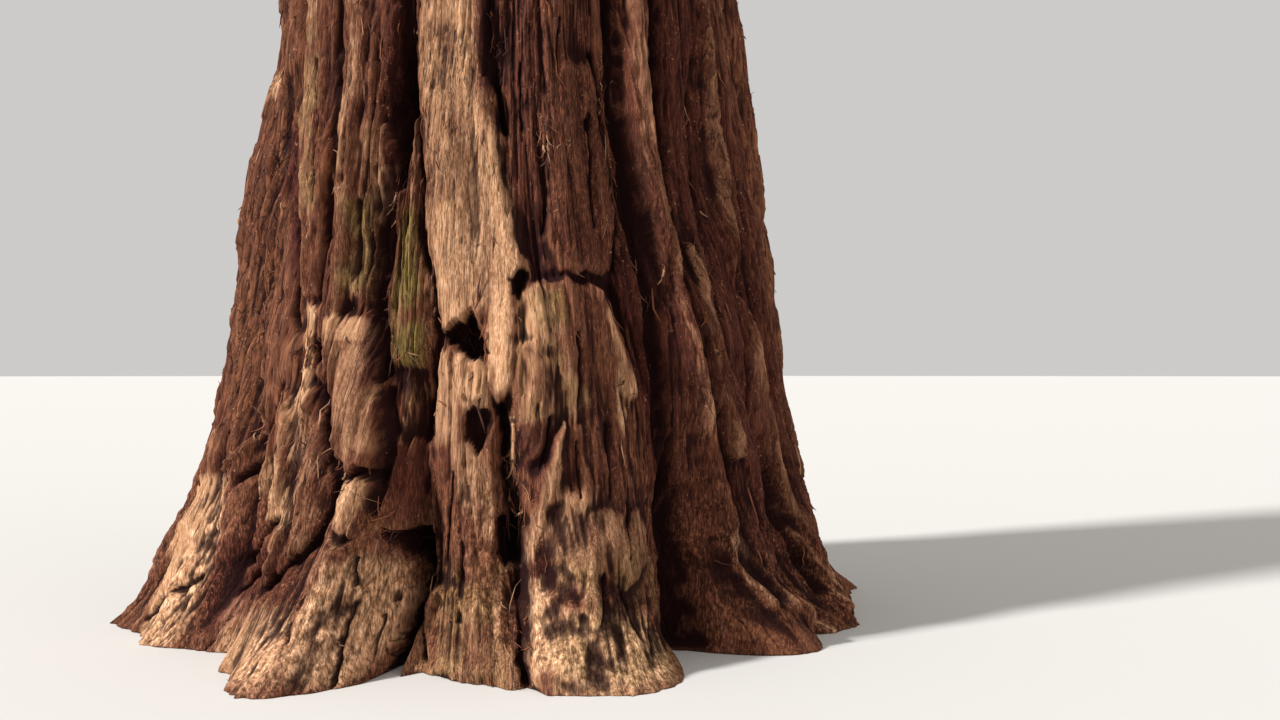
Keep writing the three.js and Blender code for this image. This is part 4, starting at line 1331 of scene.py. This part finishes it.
def plainPaint(name, colour, roughness, shine=0.3):
    paint = bpy.data.materials.new(name)
    paint.use_nodes = True
    shader = paint.node_tree.nodes["Principled BSDF"]
    shader.inputs["Base Color"].default_value = (*colour, 1)
    shader.inputs["Roughness"].default_value = roughness
    shader.inputs["Specular IOR Level"].default_value = shine
    return paint


needlePaints = [
    plainPaint("needles_old", (0.036, 0.070, 0.020), 0.6),
    plainPaint("needles_dark", (0.048, 0.105, 0.028), 0.55),
    plainPaint("needles_green", (0.076, 0.158, 0.038), 0.5),
    plainPaint("needles_fresh", (0.135, 0.235, 0.055), 0.5),
]
twigPaint = plainPaint("twig_bark", (0.11, 0.06, 0.038), 0.85)

limbPiece = joinedMesh("limbs", limbTubes)
runs = []
for points, _, _, path in limbTubes:
    along = np.concatenate(([0], np.cumsum(np.linalg.norm(np.diff(path, axis=0), axis=1))))
    sides = len(points) // len(path)
    runs.append(np.stack(np.meshgrid(np.arange(sides) * 0.05, along), axis=-1).reshape(-1, 2))
runs = atCorners(limbPiece, np.vstack(runs).astype(np.float32))
giveMap(limbPiece, "grain", runs)
limbLook = {"hollow": 0.5, "pale": 0.15, "moss": 0.25, "crust": 0.2, "calm": 0.3, "paintedShade": 0.0}
for label, value in limbLook.items():
    giveValues(limbPiece, label, np.full(len(limbPiece.data.vertices), value, np.float32))
limbPiece.data.materials.append(bark)
limbPiece.data.polygons.foreach_set("use_smooth", np.ones(len(limbPiece.data.polygons), bool))
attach(limbPiece, "root")
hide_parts(*("bough_" + name for name in masses if name != "top"))

stems = sprayStems([row for part in crownParts for row in sprays[part]])
twigPiece = joinedMesh("twigs", [*twigTubes, stems])
twigPiece.data.materials.append(twigPaint)
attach(twigPiece, "root")
print("limbs and twigs made:", len(limbPiece.data.polygons), len(twigPiece.data.polygons), "faces")

for part, tiers in crownParts.items():
    piece = needleMesh("needles_" + part, sprays[part], needlePaints)
    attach(piece, "root")
    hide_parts(*("foliage_" + name for name in masses if name.split("_")[0] in tiers))
    print(piece.name, "made:", 2 * len(piece.data.polygons), "triangles")


# Loose shreds and splinters of bark, in metres of the real tree but for their thickness
shreds = {
    "scattered": 800,
    "highest": 4.6,
    "length": (0.05, 0.30),
    "thickness": 0.0034,
    "shape": (1.0, 1.1, 0.9, 0.7, 0.25),  # thickness at each joint, from root to tip
    "hanging": 0.75,                      # share of those that hang, where the others stand
    "peel": 0.035,                        # how far the free end comes off
    "sunk": 0.012,                        # how deep the root sits in the bark
    "drift": 0.035,                       # how far the free end swings aside
    "waver": 0.004,
    "seed": 303,
}
shredPaints = (  # name, colour, share
    ("fibre_red", (0.20, 0.065, 0.03), 0.4), ("fibre_tan", (0.38, 0.2, 0.11), 0.2),
    ("fibre_dark", (0.07, 0.026, 0.017), 0.4),
)
shredClusters = (  # photo x and y, spread in pixels, number
    (307, 350, 6, 34), (262, 312, 8, 22), (497, 22, 9, 20), (404, 25, 5, 12), (544, 135, 6, 22),
    (511, 460, 5, 26), (514, 500, 9, 26), (432, 590, 4, 14), (512, 625, 10, 34), (380, 190, 5, 20),
    (372, 290, 4, 18), (608, 90, 8, 22), (622, 175, 9, 20), (340, 470, 14, 24), (300, 445, 8, 20),
    (470, 335, 10, 14), (250, 430, 9, 22), (388, 545, 12, 20), (712, 290, 12, 14), (660, 300, 10, 18),
    (268, 190, 10, 26), (400, 350, 10, 16),
)


def addShreds():
    random = np.random.RandomState(shreds["seed"])
    places = [(random.uniform(0, 360), shreds["highest"] * random.rand() ** 0.8)
              for _ in range(shreds["scattered"])]
    for x, y, spread, number in shredClusters:
        for _ in range(number):
            places.append(onTrunk(x + spread * random.normal(), y + 1.6 * spread * random.normal()))
    places = np.array(places)
    count, joints = len(places), len(shreds["shape"])
    share = np.linspace(0, 1, joints)[None, :]
    low, high = shreds["length"]
    length = (low + (high - low) * random.rand(count) ** 2)[:, None]
    down = np.where(random.rand(count) < shreds["hanging"], -1, 1)[:, None]
    peel = (shreds["peel"] * (0.2 + random.rand(count) ** 2))[:, None]
    drift = (shreds["drift"] * random.normal(size=count))[:, None]
    height = np.clip(places[:, 1:] + down * length * share * (1 - 0.25 * share), 0.01, footTop - 0.05)
    aside = drift * share ** 2 + shreds["waver"] * random.normal(size=(count, joints))
    azimuth = places[:, :1] + np.degrees(aside / meanRadius["foot"])
    relief = barkShape(azimuth.reshape(-1, 1), height.reshape(-1, 1))[0].reshape(count, joints)
    held = relief[:, :1] * (1 - 0.5 * share) + relief * 0.5 * share
    radius = trunkRadius(azimuth, height) + held - shreds["sunk"] * (1 - share) ** 4 + peel * share ** 1.5
    tubes = []
    for path, size in zip(modelPoints(azimuth, height, radius), random.rand(count)):
        thick = shreds["thickness"] * (0.4 + 0.9 * size * size)
        tubes.append(tubeMesh(path, thick * np.array(shreds["shape"]), 3))
    piece = joinedMesh("bark_shreds", tubes)
    for name, colour, _ in shredPaints:
        piece.data.materials.append(plainPaint(name, colour, 0.9))
    choice = random.choice(len(shredPaints), count, p=[portion for _, _, portion in shredPaints])
    order = np.concatenate([np.repeat(choice, len(faces)) for faces in tubes[0][1:]])
    piece.data.polygons.foreach_set("material_index", order.astype(np.int32))
    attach(piece, "root")
    print("shreds made:", count)


addShreds()

suns = (("key", -62, 38, 4.6, 6), ("fill", 50, 25, 0.35, 40))  # azimuth, elevation, strength, spread


def addStage():
    bpy.ops.mesh.primitive_circle_add(vertices=96, radius=260, fill_type="NGON", location=(0, 0, -0.001))
    ground = bpy.context.object
    ground.name = "ground_plane"
    ground.data.materials.append(plainPaint("pale_floor", (0.62, 0.6, 0.57), 0.95, 0.5))
    world = bpy.data.worlds.new("studio")
    bpy.context.scene.world = world
    world.use_nodes = True
    sky = world.node_tree.nodes["Background"]
    sky.inputs["Color"].default_value = (0.94, 0.92, 0.90, 1)
    sky.inputs["Strength"].default_value = 0.65
    bpy.context.scene.view_settings.view_transform = "Standard"
    for name, azimuth, elevation, strength, spread in suns:
        bpy.ops.object.light_add(type="SUN")
        sun = bpy.context.object
        sun.name = name
        sun.data.energy = strength
        sun.data.angle = math.radians(spread)
        turn, lift = math.radians(azimuth), math.radians(elevation)
        flat = math.cos(lift)
        towards = Vector((math.sin(turn) * flat, -math.cos(turn) * flat, math.sin(lift)))
        sun.rotation_euler = towards.to_track_quat("Z", "Y").to_euler()


addStage()
